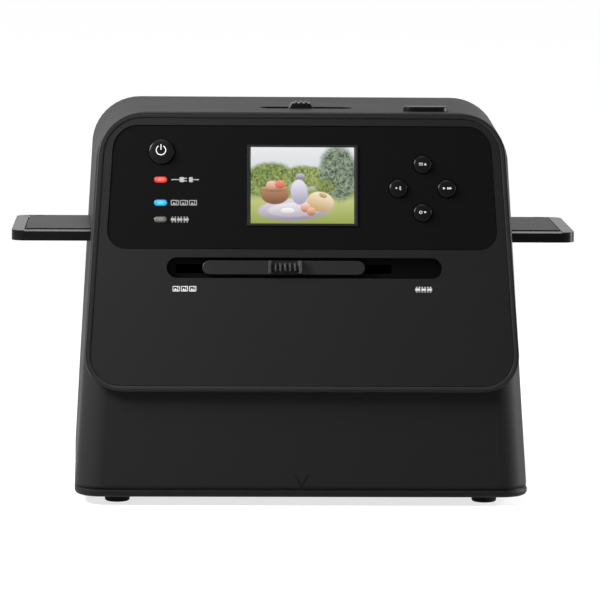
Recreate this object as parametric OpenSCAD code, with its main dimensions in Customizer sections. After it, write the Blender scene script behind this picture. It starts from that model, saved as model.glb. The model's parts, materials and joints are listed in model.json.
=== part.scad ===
// Film negative scanner: a free-standing housing with a film tray that slides through it,
// a camera above the tray, a backlight carriage below it and an open photo window in its base.
// Millimetres. +Z is up, -Y is the front. The origin is where the lens axis meets the table.

/* [Feet] */
// Diameter of each rubber foot
foot_d = 11.8; // [10:0.2:13]
// Height of the feet below the base plate
foot_h = 4; // [3:0.5:6]
// Depth of the recess that each foot sits in
foot_sunk = 1; // [0.6:0.1:1.4]
// Distance of each foot's centre in from the side edge of the base
foot_in_x = 22.9; // [22.4:0.1:24.4]
// Distance of each foot's centre in from the front or rear edge of the base
foot_in_y = 16; // [13:0.5:17]

/* [Base plate] */
// Width of the base plate at its rear corners
base_w = 219.8; // [216:0.4:224]
// Width of the base plate at its front corners
base_front_w = 213.8; // [211:0.2:216]
// Depth of the base plate
base_d = 155; // [150:1:160]
// Thickness of the base plate's outer edge
base_t = 3.4; // [2.8:0.1:4.4]
// Chamfer round the base plate's lower edge
base_chamfer = 2.2; // [1:0.1:2.6]
// Height of the groove between base plate and body
seam_h = 0.5; // [0.3:0.1:0.8]
// Depth of the groove between base plate and body
seam_in = 1.2; // [0.8:0.1:1.6]
// Width of the open photo window
photo_w = 156; // [140:1:158]
// Depth of the open photo window
photo_d = 106; // [90:1:108]
// Corner radius of the photo window
photo_r = 4; // [2:0.5:8]

/* [Body] */
// Height of the top face above the table
body_h = 183; // [178:1:190]
// Width of the body at its rear, where the top corners start
top_w = 203.2; // [200:0.4:206]
// Width of the body at its front, where the top corners start
top_front_w = 195.2; // [193:0.2:197]
// Distance from the base's rear edge forward to the rear edge of the top face
top_in = 9; // [6:0.5:11]
// Wall thickness of the body
wall = 2.4; // [2:0.1:2.8]
// Radius of the upright corners at the front
corner_r = 13; // [10:0.5:15]
// Radius of the upright corners at the rear
back_r = 16; // [12:0.5:18]
// Radius of the top corners, seen from the front
top_r = 24; // [20:0.5:26]
// Height of the screw bosses inside the body
boss_h = 24; // [16:1:30]
// Diameter of the screw bosses inside the body
boss_d = 7; // [6:0.2:8]
// Distance of each screw boss in from the side edge of the base
boss_in = 11.9; // [11.4:0.1:12.6]

/* [Front face] */
// Lean of the front face back from upright
face_lean = 13; // [11:0.5:15]
// Distance from the base's front edge back to the screen's centre
face_in = 26; // [25:0.1:27]
// Drop from the top face to the screen's centre
face_drop = 33.8; // [33.4:0.1:34.2]
// Width of the raised face at the screen's centre
face_w = 194.6; // [190:0.2:195.6]
// Slant of the raised face's side edges
side_slant = 3.5; // [2.5:0.1:4]
// Distance up the face from the screen's centre to its top edge
face_top = 34.5; // [33.8:0.1:34.8]
// Distance down the face from the screen's centre to its bottom edge
face_bottom = 97.9; // [94:0.1:101]
// Radius of the raised face's top corners
face_top_r = 21; // [18:0.5:23]
// Radius of the raised face's bottom corners
face_bottom_r = 17; // [14:0.5:20]
// Height that the raised face stands proud at its bottom edge
face_step = 3; // [2:0.2:4]
// Height that the raised face stands proud at its top edge
face_step_top = 1.5; // [1:0.1:2]
// Width of the rim round the raised face
rim_w = 2.4; // [2:0.1:3]
// Width of the groove inside the rim
groove_w = 0.4; // [0.2:0.1:0.6]
// Width of the ledge that the front panel rests on
ledge_w = 3; // [2:0.2:4]
// Depth of the raised collar from its front edge
collar_t = 9; // [8.4:0.1:9.4]
// Thickness of the front panel
panel_t = 3.2; // [3:0.1:3.6]

/* [Arrow mark] */
// Width of the engraved alignment arrow
arrow_w = 8; // [6:0.5:10]
// Height of the engraved alignment arrow
arrow_h = 6.5; // [5:0.5:8]
// Width of the arrow's strokes
arrow_line = 1.1; // [0.8:0.1:1.4]
// Depth of the engraved arrow
arrow_deep = 0.5; // [0.3:0.1:0.8]

/* [Display window] */
// Distance from the raised face's side edges to the window
window_in = 6.5; // [6:0.1:8]
// Distance up from the screen's centre to the window's top edge
window_top = 28.5; // [27:0.1:29]
// Distance down from the screen's centre to the window's bottom edge
window_bottom = 30.6; // [29:0.1:31.4]
// Radius of the window's top corners
window_top_r = 12; // [9:0.5:14]
// Radius of the window's bottom corners
window_bottom_r = 9; // [7:0.5:12]
// Thickness of the window sheet
window_t = 1.6; // [1.2:0.1:1.8]
// Depth that the window sheet lies below the front panel's face
window_sunk = 0.1; // [0:0.05:0.2]

/* [Screen] */
// Width of the screen
screen_w = 49; // [46:0.2:52]
// Height of the screen
screen_h = 36.7; // [35:0.1:39]
// Width of the frame round the screen
screen_rim = 1.6; // [1.2:0.1:2]
// Height that the screen's frame stands proud of the panel
screen_proud = 0.3; // [0.1:0.1:0.5]
// Depth of the screen glass below the panel's face
screen_sunk = 0.6; // [0.4:0.1:1]
// Thickness of the screen module behind the panel
can_t = 4.2; // [3:0.2:5]

/* [Control board] */
// Height of the bosses that carry the control board
stand_h = 6; // [5.6:0.1:6.6]
// Diameter of the bosses that carry the control board
stand_d = 6; // [5.4:0.2:7]
// Thickness of every circuit board
board_t = 1.6; // [1.2:0.2:2]
// Distance from the raised face's side edges to the control board
board_in = 13.3; // [12:0.1:15]
// Distance up from the screen's centre to the control board's top edge
board_top = 24; // [23:0.5:25]
// Distance down from the screen's centre to the control board's bottom edge
board_bottom = 26; // [25:0.5:27]
// Distance of each control board screw from the board's edges
board_screw_in = 4; // [3.6:0.1:5]
// Width of a push switch
switch_w = 6; // [5:0.5:7]
// Height of a push switch
switch_h = 3.5; // [3.2:0.1:3.8]
// Height of a light-emitting diode
diode_h = 1; // [0.6:0.1:1.2]
// Depth of a push switch's well below a fully pressed stem
well_spare = 1.2; // [1:0.1:1.4]

/* [Buttons] */
// Diameter of the power button
power_d = 12.2; // [11:0.1:13]
// Distance of the power button to the left of the screen's centre
power_x = 66.7; // [65:0.1:68]
// Distance of the power button above the screen's centre
power_v = 15.8; // [15:0.1:16.5]
// Diameter of each of the four cross buttons
cross_d = 8.4; // [8:0.1:9.4]
// Distance of the button cross to the right of the screen's centre
cross_x = 56.8; // [54:0.1:58]
// Distance of the button cross below the screen's centre
cross_v = 1.3; // [0:0.1:2]
// Distance of each cross button from the cross's centre
cross_r = 11.5; // [11:0.1:12.5]
// Height that the buttons stand proud
button_proud = 1.4; // [1:0.1:1.8]
// Share of a button's diameter that is left at its top
button_top = 0.75; // [0.6:0.05:0.9]
// Travel of each front button
button_travel = 0.8; // [0.5:0.1:1]
// Thickness of the flange that holds each button in
flange_t = 0.8; // [0.6:0.1:0.9]
// Width of the flange beyond the button's edge
flange_w = 1; // [0.6:0.1:1.2]
// Diameter of the stem behind each button
stem_d = 3; // [2.4:0.1:3.2]
// Clearance round moving pieces
play = 0.3; // [0.25:0.05:0.35]

/* [Status lights] */
// Length of each status light
light_l = 6.7; // [6:0.1:8]
// Height of each status light
light_h = 3.3; // [2.8:0.1:3.8]
// Distance of the status lights to the left of the screen's centre
light_x = 67; // [65:0.1:70]
// Distance of the power light above the screen's centre
power_light_v = 2.5; // [2:0.1:3]
// Distance of the photo light below the screen's centre
photo_light_v = 8.5; // [8:0.1:9]
// Distance of the film light below the screen's centre
film_light_v = 16.5; // [16:0.1:17]

/* [Mode slider] */
// Distance of the mode slider below the screen's centre
mode_v = 39.6; // [39.2:0.1:40]
// Length of the slider's recess
recess_l = 130; // [126:1:134]
// Height of the slider's recess
recess_h = 10.4; // [10:0.1:11]
// Depth of the slider's recess
recess_deep = 3.4; // [3.2:0.1:3.6]
// Thickness of the recess's walls and floor
recess_wall = 1.4; // [1:0.1:1.6]
// Distance of the recess's centre to the right of the lens axis
recess_x = 1; // [0:0.1:2]
// Length of the slider's cover bar
bar_l = 76.7; // [74:0.1:80]
// Height of the slider's cover bar
bar_h = 7; // [6.4:0.1:7.4]
// Distance of the cover bar below the panel's face
bar_sunk = 0.5; // [0.3:0.1:0.7]
// Clearance at each end of the slider's travel
stop_gap = 0.5; // [0.4:0.1:0.8]
// Distance of the resting slider to the left of the lens axis
mode_rest = 8.8; // [8:0.1:10]
// Length of the slot in the recess's floor
slot_l = 102; // [98:1:104]
// Height of the slot in the recess's floor
slot_h = 4.2; // [4:0.1:4.6]
// Distance of the slot's centre to the left of the lens axis
slot_x = 8.7; // [8:0.1:9.2]
// Length of the slider's knob
knob_l = 16.5; // [15:0.1:18]
// Height that the knob stands proud of the cover bar
knob_proud = 2.4; // [1.8:0.1:3]
// Number of grip ribs on the knob
knob_ribs = 5; // [3:1:7]
// Thickness of the arm behind the slider
arm_t = 3; // [2.4:0.1:3.4]

/* [Film tray] */
// Length of the film tray
tray_l = 269; // [260:1:275]
// Width of the film tray
tray_w = 76; // [72:0.5:77]
// Thickness of the film tray
tray_t = 4.9; // [4.6:0.1:5.1]
// Drop from the top face to the tray's underside
tray_drop = 62; // [61.6:0.1:62.4]
// Distance of the tray's centre to the left of the lens axis at rest
tray_rest = 3.5; // [0:0.1:8]
// Radius of the tray's corners
tray_r = 6; // [3:0.5:8]
// Width of the tray's border at its ends
tray_end = 6; // [5:0.5:8]
// Width of the tray's border at its front
tray_front = 11; // [9:0.5:12]
// Drop of the front border below the lid
tray_step = 0.4; // [0.2:0.1:0.6]
// Thickness of the tray's lid
lid_t = 2; // [1.8:0.1:2.2]
// Groove round the tray's lid
lid_gap = 0.4; // [0.3:0.1:0.6]
// Number of frame windows in the tray
frames = 5; // [3:1:5]
// Distance from one frame window to the next
frame_pitch = 38; // [37.6:0.1:38.4]
// Width of a frame window
frame_w = 36; // [34:0.5:36]
// Depth of a frame window
frame_d = 24; // [22:0.5:25]
// Width of the film channel in the tray
film_w = 35.4; // [35.2:0.1:36]
// Depth of the film channel in the tray
film_deep = 0.3; // [0.2:0.05:0.4]
// Diameter of the lid's hinge pins
hinge_d = 1.2; // [1:0.1:1.3]
// Length of each hinge pin
hinge_l = 8; // [6:0.5:9]
// Radial clearance of pins and rods in their holes
fit = 0.05; // [0.03:0.01:0.08]

/* [Film deck] */
// Thickness of the deck under the tray
deck_t = 2.3; // [2:0.1:2.6]
// Depth of the deck
deck_d = 88.4; // [88:0.2:89]
// Length of the light opening in the deck
gate_l = 56; // [50:1:60]
// Depth of the light opening in the deck
gate_d = 42; // [38:1:44]
// Thickness of the guide above the tray
guide_t = 2.2; // [2:0.1:2.6]
// Length of the guide above the tray
guide_l = 140; // [136:1:150]
// Distance of the guide's screws in from its ends
guide_screw_in = 10; // [8:0.5:12]
// Width of the rails beside the tray
rail_w = 5; // [4.6:0.1:5.4]
// Length of the opening in the guide
port_l = 44; // [40:1:46]
// Depth of the opening in the guide
port_d = 32; // [28:1:33]
// Diameter of the posts that carry the deck
post_d = 8; // [7:0.5:9]
// Diameter of the spigot on top of each post
spigot_d = 4; // [3:0.5:4.5]
// Distance of each post's centre from the deck's ends
post_in = 10; // [9:0.1:10.4]
// Distance of each post's centre from the deck's long edges
post_edge = 3; // [2.8:0.1:3.4]
// Thickness of the dust seals at the tray slots
seal_t = 2.5; // [2:0.1:3]
// Height of the dust seals
seal_h = 12.6; // [11:0.1:14]

/* [Backlight] */
// Length of the backlight carriage
carriage_l = 54; // [52:0.5:58]
// Depth of the backlight carriage
carriage_d = 60; // [58:0.5:64]
// Height of the backlight carriage
carriage_h = 10.1; // [9.6:0.1:10.6]
// Height of the guide rods above the carriage's underside
rod_up = 3.4; // [3.2:0.1:3.8]
// Thickness of the carriage's floor
carriage_floor = 1.5; // [1.2:0.1:1.8]
// Length of the light panel
light_pad_l = 48; // [45:0.5:49]
// Depth of the light panel
light_pad_d = 40; // [38:0.5:42]
// Thickness of the light panel's diffuser
diffuser_t = 2; // [1.6:0.1:2.4]
// Width of the ledge under the diffuser
diffuser_ledge = 1.5; // [1:0.1:2]
// Diameter of the guide rods
rod_d = 3; // [2.6:0.1:3.4]
// Distance of each guide rod from the lens axis
rod_y = 26; // [25.5:0.1:26.5]
// Thickness of the rod brackets
bracket_t = 3.5; // [3:0.1:4.5]
// Width of the rod brackets
bracket_w = 7.4; // [7:0.2:7.4]
// Thickness of the detent spring's leaf
leaf_t = 0.5; // [0.4:0.1:0.6]
// Length of the detent spring's leaf
leaf_l = 30; // [20:1:36]

/* [Camera] */
// Height of the stepped light hood
hood_h = 25; // [24:0.5:25.5]
// Length of the hood's lowest tier
hood_l = 56; // [54:0.5:58]
// Depth of the hood's lowest tier
hood_d = 44; // [40:0.5:46]
// Length that each tier of the hood loses
hood_step_l = 11; // [9:0.5:12]
// Depth that each tier of the hood loses
hood_step_d = 7; // [6:0.5:8]
// Number of tiers of the hood
hood_tiers = 3; // [2:1:3]
// Wall thickness of the hood and the bracket's plate
hood_wall = 2; // [1.6:0.1:2.4]
// Diameter of the lens barrel
barrel_d = 12; // [11:0.1:12.4]
// Rise of the camera's shelf above the barrel's lower end
shelf_rise = 2.4; // [2:0.1:2.8]
// Overhang of the lens holder beyond the sensor board's front
holder_side = 1; // [0.6:0.1:1.4]
// Width of the lip that the lens glass rests on
glass_lip = 1; // [0.6:0.1:1.4]
// Diameter of the lens glass
glass_d = 8; // [7:0.1:9]
// Height of the lens holder on the bracket
holder_h = 6; // [5:0.2:6.6]
// Width of the sensor board
sensor_w = 36; // [32:1:40]
// Length of the chip on the sensor board
sensor_chip = 24; // [18:1:28]
// Depth of the sensor board
sensor_d = 30; // [26:1:32]
// Distance of the camera bracket's front edge ahead of the lens axis
camera_front = 7; // [6.8:0.1:7.2]
// Thickness of the camera bracket's legs
leg_t = 4; // [3:0.2:5]
// Clear width between the camera bracket's legs
leg_gap = 64; // [60:1:70]
// Length of the ledges before and behind the close-up lens
ledge_l = 42.6; // [38:0.1:46]

/* [Lens slider] */
// Distance of the lens slider ahead of the lens axis
lens_y = 10; // [9.8:0.1:10.4]
// Length of the lens slider's recess
lens_recess_l = 44.8; // [43:0.1:47]
// Width of the lens slider's recess
lens_recess_w = 9; // [8.6:0.1:9.6]
// Depth of the lens slider's recess
lens_recess_deep = 1.2; // [1:0.1:1.4]
// Distance of the recess's centre to the right of the lens axis
lens_recess_x = 2.8; // [2:0.1:3.4]
// Length of the lens slider's bar
lens_bar_l = 36.8; // [36:0.1:37.4]
// Width of the lens slider's bar
lens_bar_w = 7; // [6.4:0.1:7.6]
// Length of the lens knob at its foot
lens_knob_l = 12.4; // [11:0.1:14]
// Length of the lens knob at its top
lens_knob_top = 8.8; // [8:0.1:10]
// Height of the lens knob above the bar
lens_knob_h = 2.1; // [1.6:0.1:2.8]
// Width of the lens knob, front to back
lens_knob_w = 11; // [9:0.5:13]
// Distance of the lens knob to the right of its bar's centre
lens_knob_x = 1; // [0:0.1:2]
// Number of grip ribs on the lens knob
lens_ribs = 3; // [2:1:3]
// Width and height of each grip rib on the lens knob
lens_rib = 1.2; // [0.8:0.1:1.6]
// Thickness of the stem below the lens slider
lens_stem_t = 2.4; // [2:0.1:2.6]
// Length of the stem below the lens slider
lens_stem_l = 10; // [8:0.2:12]
// Thickness of the close-up lens carriage
macro_t = 3; // [2.6:0.1:3.2]
// Diameter of the close-up lens
macro_d = 6.4; // [6:0.1:6.6]
// Width of the lip that the close-up lens rests on
macro_lip = 0.4; // [0.3:0.1:0.6]
// Thickness of the close-up lens
macro_glass_t = 1.6; // [1.2:0.1:1.8]

/* [Scan button] */
// Length of the scan button
scan_l = 21.4; // [20:0.2:24]
// Width of the scan button
scan_w = 10; // [9:0.2:11]
// Distance of the scan button to the right of the lens axis
scan_x = 59.3; // [57:0.1:62]
// Distance of the scan button ahead of the lens axis
scan_y = 28; // [27:0.1:29]
// Height that the scan button stands proud
scan_proud = 1.9; // [1.7:0.1:2.4]
// Travel of the scan button
scan_travel = 1.5; // [1:0.1:1.6]
// Length of the scan switch's board beyond the button
scan_board_over = 16; // [14:0.5:17]
// Length of the bosses that carry the scan switch
scan_stand = 6.6; // [6.5:0.1:7]

/* [Rear] */
// Width of the rear cover
cover_w = 176; // [170:1:178]
// Height of the rear cover along the rear wall
cover_h = 140; // [136:1:142]
// Distance up the rear wall to the cover's lower edge
cover_up = 16; // [14:1:18]
// Corner radius of the rear cover
cover_r = 8; // [5:0.5:10]
// Thickness of the rear cover
cover_t = 2; // [1.6:0.1:2.4]
// Width of the ledge behind the rear cover
cover_ledge = 5; // [4.6:0.1:6]
// Height of the rear cover's screws above and below its middle
cover_screw_up = 46.7; // [40:0.1:52]
// Drop from the deck's underside to the main board's top
main_drop = 24.8; // [24:0.1:26]
// Width of the main board
main_w = 140; // [130:1:150]
// Depth of the main board
main_d = 36; // [34:0.5:36.4]
// Width of the chips on the main board
chip_w = 12; // [10:0.5:14]
// Distance from the middle of the main board to its first chip
chip_x = 15.5; // [14:0.5:18]
// Distance from one chip to the next
chip_pitch = 31; // [26:0.5:34]
// Thickness of the ribs under the main board
rib_t = 2.5; // [2:0.1:3]
// Height of the ribs under the main board
rib_h = 8; // [6:0.5:10]
// Distance of the data port's centre to the left, seen from the front
usb_x = 30; // [24:1:36]
// Distance of the card slot's centre to the right, seen from the front
card_x = 25; // [20:1:30]
// Width of the data port's shell
usb_w = 9; // [8.4:0.1:9.4]
// Height of the data port's shell
usb_h = 3.2; // [3:0.1:3.6]
// Depth of the data port's shell
usb_l = 7.4; // [6.5:0.1:8.5]
// Width of the card socket
card_w = 26; // [25:0.1:28]
// Height of the card socket
card_h = 3.2; // [3:0.1:3.6]
// Depth of the card socket
card_l = 26.8; // [25:0.1:30]
// Thickness of the port's and the card socket's sheet metal
port_wall = 0.4; // [0.3:0.05:0.6]
// Thickness of the port's and the card socket's back wall
port_back = 1; // [0.8:0.1:1.4]

/* [Flat cables] */
// Thickness of the flat cables
cable_t = 0.4; // [0.3:0.1:0.6]
// Width of the flat cables
cable_w = 12; // [10:0.5:14]
// Distance of the display cable to the right of the lens axis
cable_x = 60; // [56:1:63]
// Distance of the display cable's plug above the control board's lower edge
cable_up = 4; // [4:0.5:6]
// Height of the display cable's plug
plug_h = 5; // [4:0.5:6]
// Thickness of the display cable's plug
plug_t = 1.6; // [1.4:0.1:1.8]
// Drop of the display cable's level run below the backlight carriage
cable_below = 10; // [8:0.5:11]
// Length of each cable end that lies on a board
cable_end = 5; // [4:0.5:6]
// Gap between the sensor cable and the deck's rear edge
cable_clear = 6; // [5:0.5:8]

/* [Photo lamps] */
// Height of the photo lamps' lower edge above the table
lamp_z = 80; // [76:1:82]
// Height of the photo lamp strips
lamp_h = 12; // [10:0.5:13]
// Length of the photo lamp strips
lamp_l = 84; // [80:1:86]
// Depth of the photo lamps' diffusers
lamp_deep = 6; // [5:0.2:7]
// Number of diodes on each photo lamp
lamp_diodes = 6; // [4:1:8]

/* [Screws] */
// Shank diameter of the large screws
screw_d = 2.9; // [2.5:0.1:3.1]
// Head diameter of the large screws
screw_head_d = 6; // [5.4:0.1:6]
// Head height of the large screws
screw_head_h = 1.8; // [1.6:0.1:2]
// Length of the large screws' shanks
screw_l = 12; // [9:1:14]
// Shank diameter of the small screws
small_d = 2.2; // [1.8:0.1:2.4]
// Head diameter of the small screws
small_head_d = 4.4; // [3.8:0.1:4.8]
// Head height of the small screws
small_head_h = 1.2; // [1:0.1:1.4]
// Length of the small screws' shanks
small_l = 5; // [4:0.5:5]

/* [Hidden] */
$fn = 64;
hull_fn = 48;
arc_steps = 14;
skin = 1;      // thickness of the slices that a hull is stretched over
edge_skin = 0.25; // thickness of the slice at the base's lower edge
over = 1;      // overshoot of a cut beyond the face it opens

// Heights
base_z = foot_h;
plate_z = base_z + base_t;
seat_z = plate_z + seam_h;
face_z = body_h - face_drop;
face_y = base_d / 2 - face_in;
tray_z = body_h - tray_drop;
tray_top = tray_z + tray_t;
deck_top = tray_z - play;
deck_z = deck_top - deck_t;
guide_z = tray_top + play;
guide_top = guide_z + guide_t;
hood_top = guide_top + hood_h;
macro_z = hood_top + play;
macro_top = macro_z + macro_t;
barrel_z = macro_top + 2 * play;
shelf_z = barrel_z + shelf_rise;
holder_z = shelf_z + hood_wall;
sensor_z = holder_z + holder_h;
main_top = deck_z - main_drop;
main_z = main_top - board_t;
ceiling = body_h - wall * (cos(face_lean) + sin(face_lean));

// Points on and behind the leaning front face: v runs up the face, w inwards from it
function face_at_y(v, w) = -face_y + v * sin(face_lean) + w * cos(face_lean);
function face_at_z(v, w) = face_z + v * cos(face_lean) - w * sin(face_lean);

// Body outline
kink_z = face_at_z(-face_bottom, face_step);
kink_y = face_at_y(-face_bottom, face_step);
side_rise = body_h - top_r - seat_z;
kink_w = base_front_w + (top_front_w - base_front_w) * (kink_z - seat_z) / side_rise;
back_lean = atan(top_in / (body_h - seat_z));
back_rise = (body_h - seat_z) / cos(back_lean);
front_row = corner_r - base_d / 2;
back_row = base_d / 2 - back_r;
front_x = base_front_w / 2 - corner_r;
back_x = base_w / 2 - back_r;
corner_gap = norm([back_x - front_x, back_row - front_row]);
splay = acos((corner_r - back_r) / corner_gap) - atan2(back_row - front_row, back_x - front_x);
function front_half(z) = (base_front_w + (top_front_w - base_front_w) * (z - seat_z) / side_rise) / 2;
function back_half(z) = (base_w + (top_w - base_w) * (z - seat_z) / side_rise) / 2;
function side_half(y, z) =
  front_half(z) + (back_half(z) - front_half(z)) * (y - front_row) / (back_row - front_row);
function rear_y(z) = base_d / 2 - (z - seat_z) * tan(back_lean);

// Front panel stack, as depths behind the panel's face
window_seat = window_sunk + window_t;
board_w = panel_t + stand_h;
switch_w_top = board_w - switch_h;
flange_z = panel_t + play;
frame_open_w = screen_w + 2 * screen_rim;
frame_open_h = screen_h + 2 * screen_rim;
board_half = face_w / 2 - board_in;
hole_gap = fit * 2;

// Mode slider
mode_travel = recess_l - bar_l - 2 * stop_gap;
mode_max = recess_x + mode_travel / 2;
bar_back = recess_deep - play;
arm_l = slot_l - mode_travel - 6 * stop_gap;
arm_x = -mode_rest - (recess_x + slot_x);
arm_reach = recess_deep + recess_wall + arm_t / 2 + play * 3;
arm_z = face_at_z(-mode_v, arm_reach);
arm_h = slot_h - 2 * play;
function arm_point(side, w) =
  [face_at_y(side * arm_h / 2 - mode_v, w), face_at_z(side * arm_h / 2 - mode_v, w)];
carriage_x = -mode_rest - mode_max;
carriage_top = deck_z - play;
carriage_z = carriage_top - carriage_h;
rod_z = carriage_z + rod_up;
rod_left = -carriage_l / 2 - mode_travel - 3 * stop_gap - bracket_t;
rod_right = carriage_l / 2 + 3 * stop_gap + bracket_t;

// Deck, posts and seals
seal_w = tray_w + seal_h - tray_t;
deck_half = side_half(-seal_w / 2, tray_z + seal_h) - wall - seal_t - 2 * play;
post_x = deck_half - post_in;
post_y = deck_d / 2 - post_edge;
rail_y = tray_w / 2 + play;

// Base screws: four into the body's corner bosses, four into the posts
boss_x = base_w / 2 - boss_in;
boss_y = base_d / 2 - foot_in_y;
foot_x = base_w / 2 - foot_in_x;
foot_y = base_d / 2 - foot_in_y;
head_deep = screw_head_h + play / 2;

// Lens slider
lens_travel = lens_recess_l - lens_bar_l - 2 * stop_gap;
lens_bar_x = lens_recess_x - lens_travel / 2;
lens_bar_z = body_h - lens_recess_deep + play;
lens_knob_z = body_h + play;
lens_slot_l = lens_stem_l + lens_travel + 2 * stop_gap;

// Scan button
scan_flange_z = ceiling - play - flange_t;
scan_board_top = ceiling - scan_stand;
scan_board_l = scan_l + scan_board_over;

// Film tray, from the middle of its underside
lid_l = tray_l - 2 * tray_end;
lid_front = tray_front - tray_w / 2;
lid_seat = tray_t - lid_t - hole_gap;
hinge_y = tray_w / 2 - lid_t;
hinge_z = tray_t - lid_t / 2;

// Rear and cables
board_rear = rear_y(main_top) - wall - play;
cable_v = cable_up - board_bottom;
cable_y = face_at_y(cable_v, board_w + board_t + plug_t / 2);
cable_top = face_at_z(cable_v, board_w + board_t + plug_t / 2);
cable_drop = carriage_z - cable_below;
cable_rear = board_rear - main_d + cable_end;
lamp_x = post_x - post_d / 2 - play;

// A stadium lying along X, centred, standing on z = 0
module capsule(l, w, h) linear_extrude(h) {
  square([l - w, w], center = true);
  for (side = [-1, 1]) translate([side * (l - w) / 2, 0]) circle(d = w);
}

// A box between two corners
module slab(from, to) translate(from) cube(to - from);

// A rounded rectangle, centred
module round_rect(l, w, r) {
  square([l - 2 * r, w], center = true);
  square([l, w - 2 * r], center = true);
  for (x = [-1, 1], y = [-1, 1]) translate([x * (l / 2 - r), y * (w / 2 - r)]) circle(r);
}

// Points along an arc
function arc(x, y, r, from, to) =
  [for (i = [0 : arc_steps]) let (a = from + (to - from) * i / arc_steps) [x + r * cos(a), y + r * sin(a)]];

// Outline with slanting sides and four corner arcs: half is its half width at v = 0
module slanted(half, top, bottom, r_top, r_bottom, inset) {
  top_v = top - r_top;
  low_v = r_bottom - bottom;
  top_x = half - tan(side_slant) * top_v - r_top / cos(side_slant);
  low_x = half - tan(side_slant) * low_v - r_bottom / cos(side_slant);
  polygon(concat(
    arc(top_x, top_v, r_top - inset, side_slant, 90),
    arc(-top_x, top_v, r_top - inset, 90, 180 - side_slant),
    arc(-low_x, low_v, r_bottom - inset, 180 - side_slant, 270),
    arc(low_x, low_v, r_bottom - inset, -90, side_slant)
  ));
}

module face_outline(inset)
  slanted(face_w / 2, face_top, face_bottom, face_top_r, face_bottom_r, inset);

module window_outline(inset)
  slanted(face_w / 2 - window_in, window_top, window_bottom,
          window_top_r, window_bottom_r, inset);

// Children are drawn with x across the face, y up the face and z out of it
module on_face() translate([0, -face_y, face_z]) rotate([90 - face_lean, 0, 0]) children();

// Extrudes a face outline between two depths behind the face
module depth(from, to) translate([0, 0, -to]) linear_extrude(to - from) children();

// Children are drawn with y up the rear wall and z out of it, x to the left seen from the front
module on_back()
  translate([0, base_d / 2, seat_z]) rotate([0, 0, 180]) rotate([90 - back_lean, 0, 0])
    children();

// Plan of the base: wider and with larger corners at the rear
module plan(inset) polygon(concat(
  arc(front_x, front_row, corner_r - inset, -90, -splay),
  arc(back_x, back_row, back_r - inset, -splay, 90),
  arc(-back_x, back_row, back_r - inset, 90, 180 + splay),
  arc(-front_x, front_row, corner_r - inset, 180 + splay, 270)
));

// The body's solid form, or with an inset the hollow inside it
module body_form(inset) {
  low = inset > 0 ? over : 0;
  hull() for (side = [-1, 1]) {
    translate([side * front_x, front_row, seat_z - low])
      cylinder(r = corner_r - inset, h = skin, $fn = hull_fn);
    translate([side * back_x, back_row, seat_z - low])
      cylinder(r = back_r - inset, h = skin, $fn = hull_fn);
    translate([side * (kink_w / 2 - corner_r), kink_y + corner_r, kink_z - skin])
      cylinder(r = corner_r - inset, h = skin, $fn = hull_fn);
    on_face() translate([
      side * (top_front_w / 2 - top_r),
      (face_drop + face_step_top * sin(face_lean)) / cos(face_lean) - top_r,
      -face_step_top - inset - skin
    ]) cylinder(r = top_r - inset, h = skin, $fn = hull_fn);
    on_back() translate([side * (top_w / 2 - top_r), back_rise - top_r, -inset - skin])
      cylinder(r = top_r - inset, h = skin, $fn = hull_fn);
  }
}

// Positions used by both the screws and their holes
boss_points = [for (x = [-1, 1], y = [-1, 1]) [x * boss_x, y * boss_y]];
post_points = [for (x = [-1, 1], y = [-1, 1]) [x * post_x, y * post_y]];
board_points = [
  for (x = [-1, 1], v = [board_top - board_screw_in, board_screw_in - board_bottom])
    [x * (board_half - board_screw_in), v]
];
scan_points = [for (x = [-1, 1]) [scan_x + x * (scan_board_l / 2 - board_screw_in), -scan_y]];
guide_points = [for (x = [-1, 1], y = [-1, 1])
  [x * (guide_l / 2 - guide_screw_in), y * (rail_y + rail_w / 2)]];
cover_points = [
  for (x = [-1, 1], y = [-1, 1])
    [x * (cover_w / 2 - cover_ledge / 2), cover_up + cover_h / 2 + y * cover_screw_up]
];

// Centres of the front buttons on the face
power_at = [-power_x, power_v];
up_at = [cross_x, cross_r - cross_v];
left_at = [cross_x - cross_r, -cross_v];
right_at = [cross_x + cross_r, -cross_v];
down_at = [cross_x, -cross_r - cross_v];
button_points = [power_at, up_at, left_at, right_at, down_at];
light_points = [
  [-light_x, power_light_v], [-light_x, -photo_light_v], [-light_x, -film_light_v]
];

// ---- Base

module base_plate() color([0.12, 0.12, 0.12]) difference() {
  union() {
    hull() {
      translate([0, 0, base_z]) linear_extrude(edge_skin) plan(base_chamfer);
      translate([0, 0, base_z + base_chamfer]) linear_extrude(base_t - base_chamfer) plan(0);
    }
    translate([0, 0, base_z]) linear_extrude(base_t + seam_h) plan(seam_in);
  }
  translate([0, 0, base_z - over]) linear_extrude(base_t + seam_h + 2 * over)
    round_rect(photo_w, photo_d, photo_r);
  for (x = [-1, 1], y = [-1, 1]) translate([x * foot_x, y * foot_y, base_z - over])
    cylinder(d = foot_d + 2 * play, h = foot_sunk + over);
  for (p = concat(boss_points, post_points)) translate([p[0], p[1], base_z - over]) {
    cylinder(d = screw_head_d + 2 * play, h = head_deep + over);
    cylinder(d = screw_d + 2 * play, h = base_t + seam_h + 2 * over);
  }
}

module feet() color([0.08, 0.08, 0.08])
  for (x = [-1, 1], y = [-1, 1]) translate([x * foot_x, y * foot_y, 0])
    cylinder(d = foot_d, h = foot_h + foot_sunk);

module screw(shank_d, shank_l, head_d, head_h) {
  cylinder(d = head_d, h = head_h);
  cylinder(d = shank_d, h = head_h + shank_l);
}

module base_screws() color([0.35, 0.35, 0.37])
  for (p = concat(boss_points, post_points)) translate([p[0], p[1], base_z + play / 2])
    screw(screw_d, screw_l, screw_head_d, screw_head_h);

// ---- Body

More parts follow.
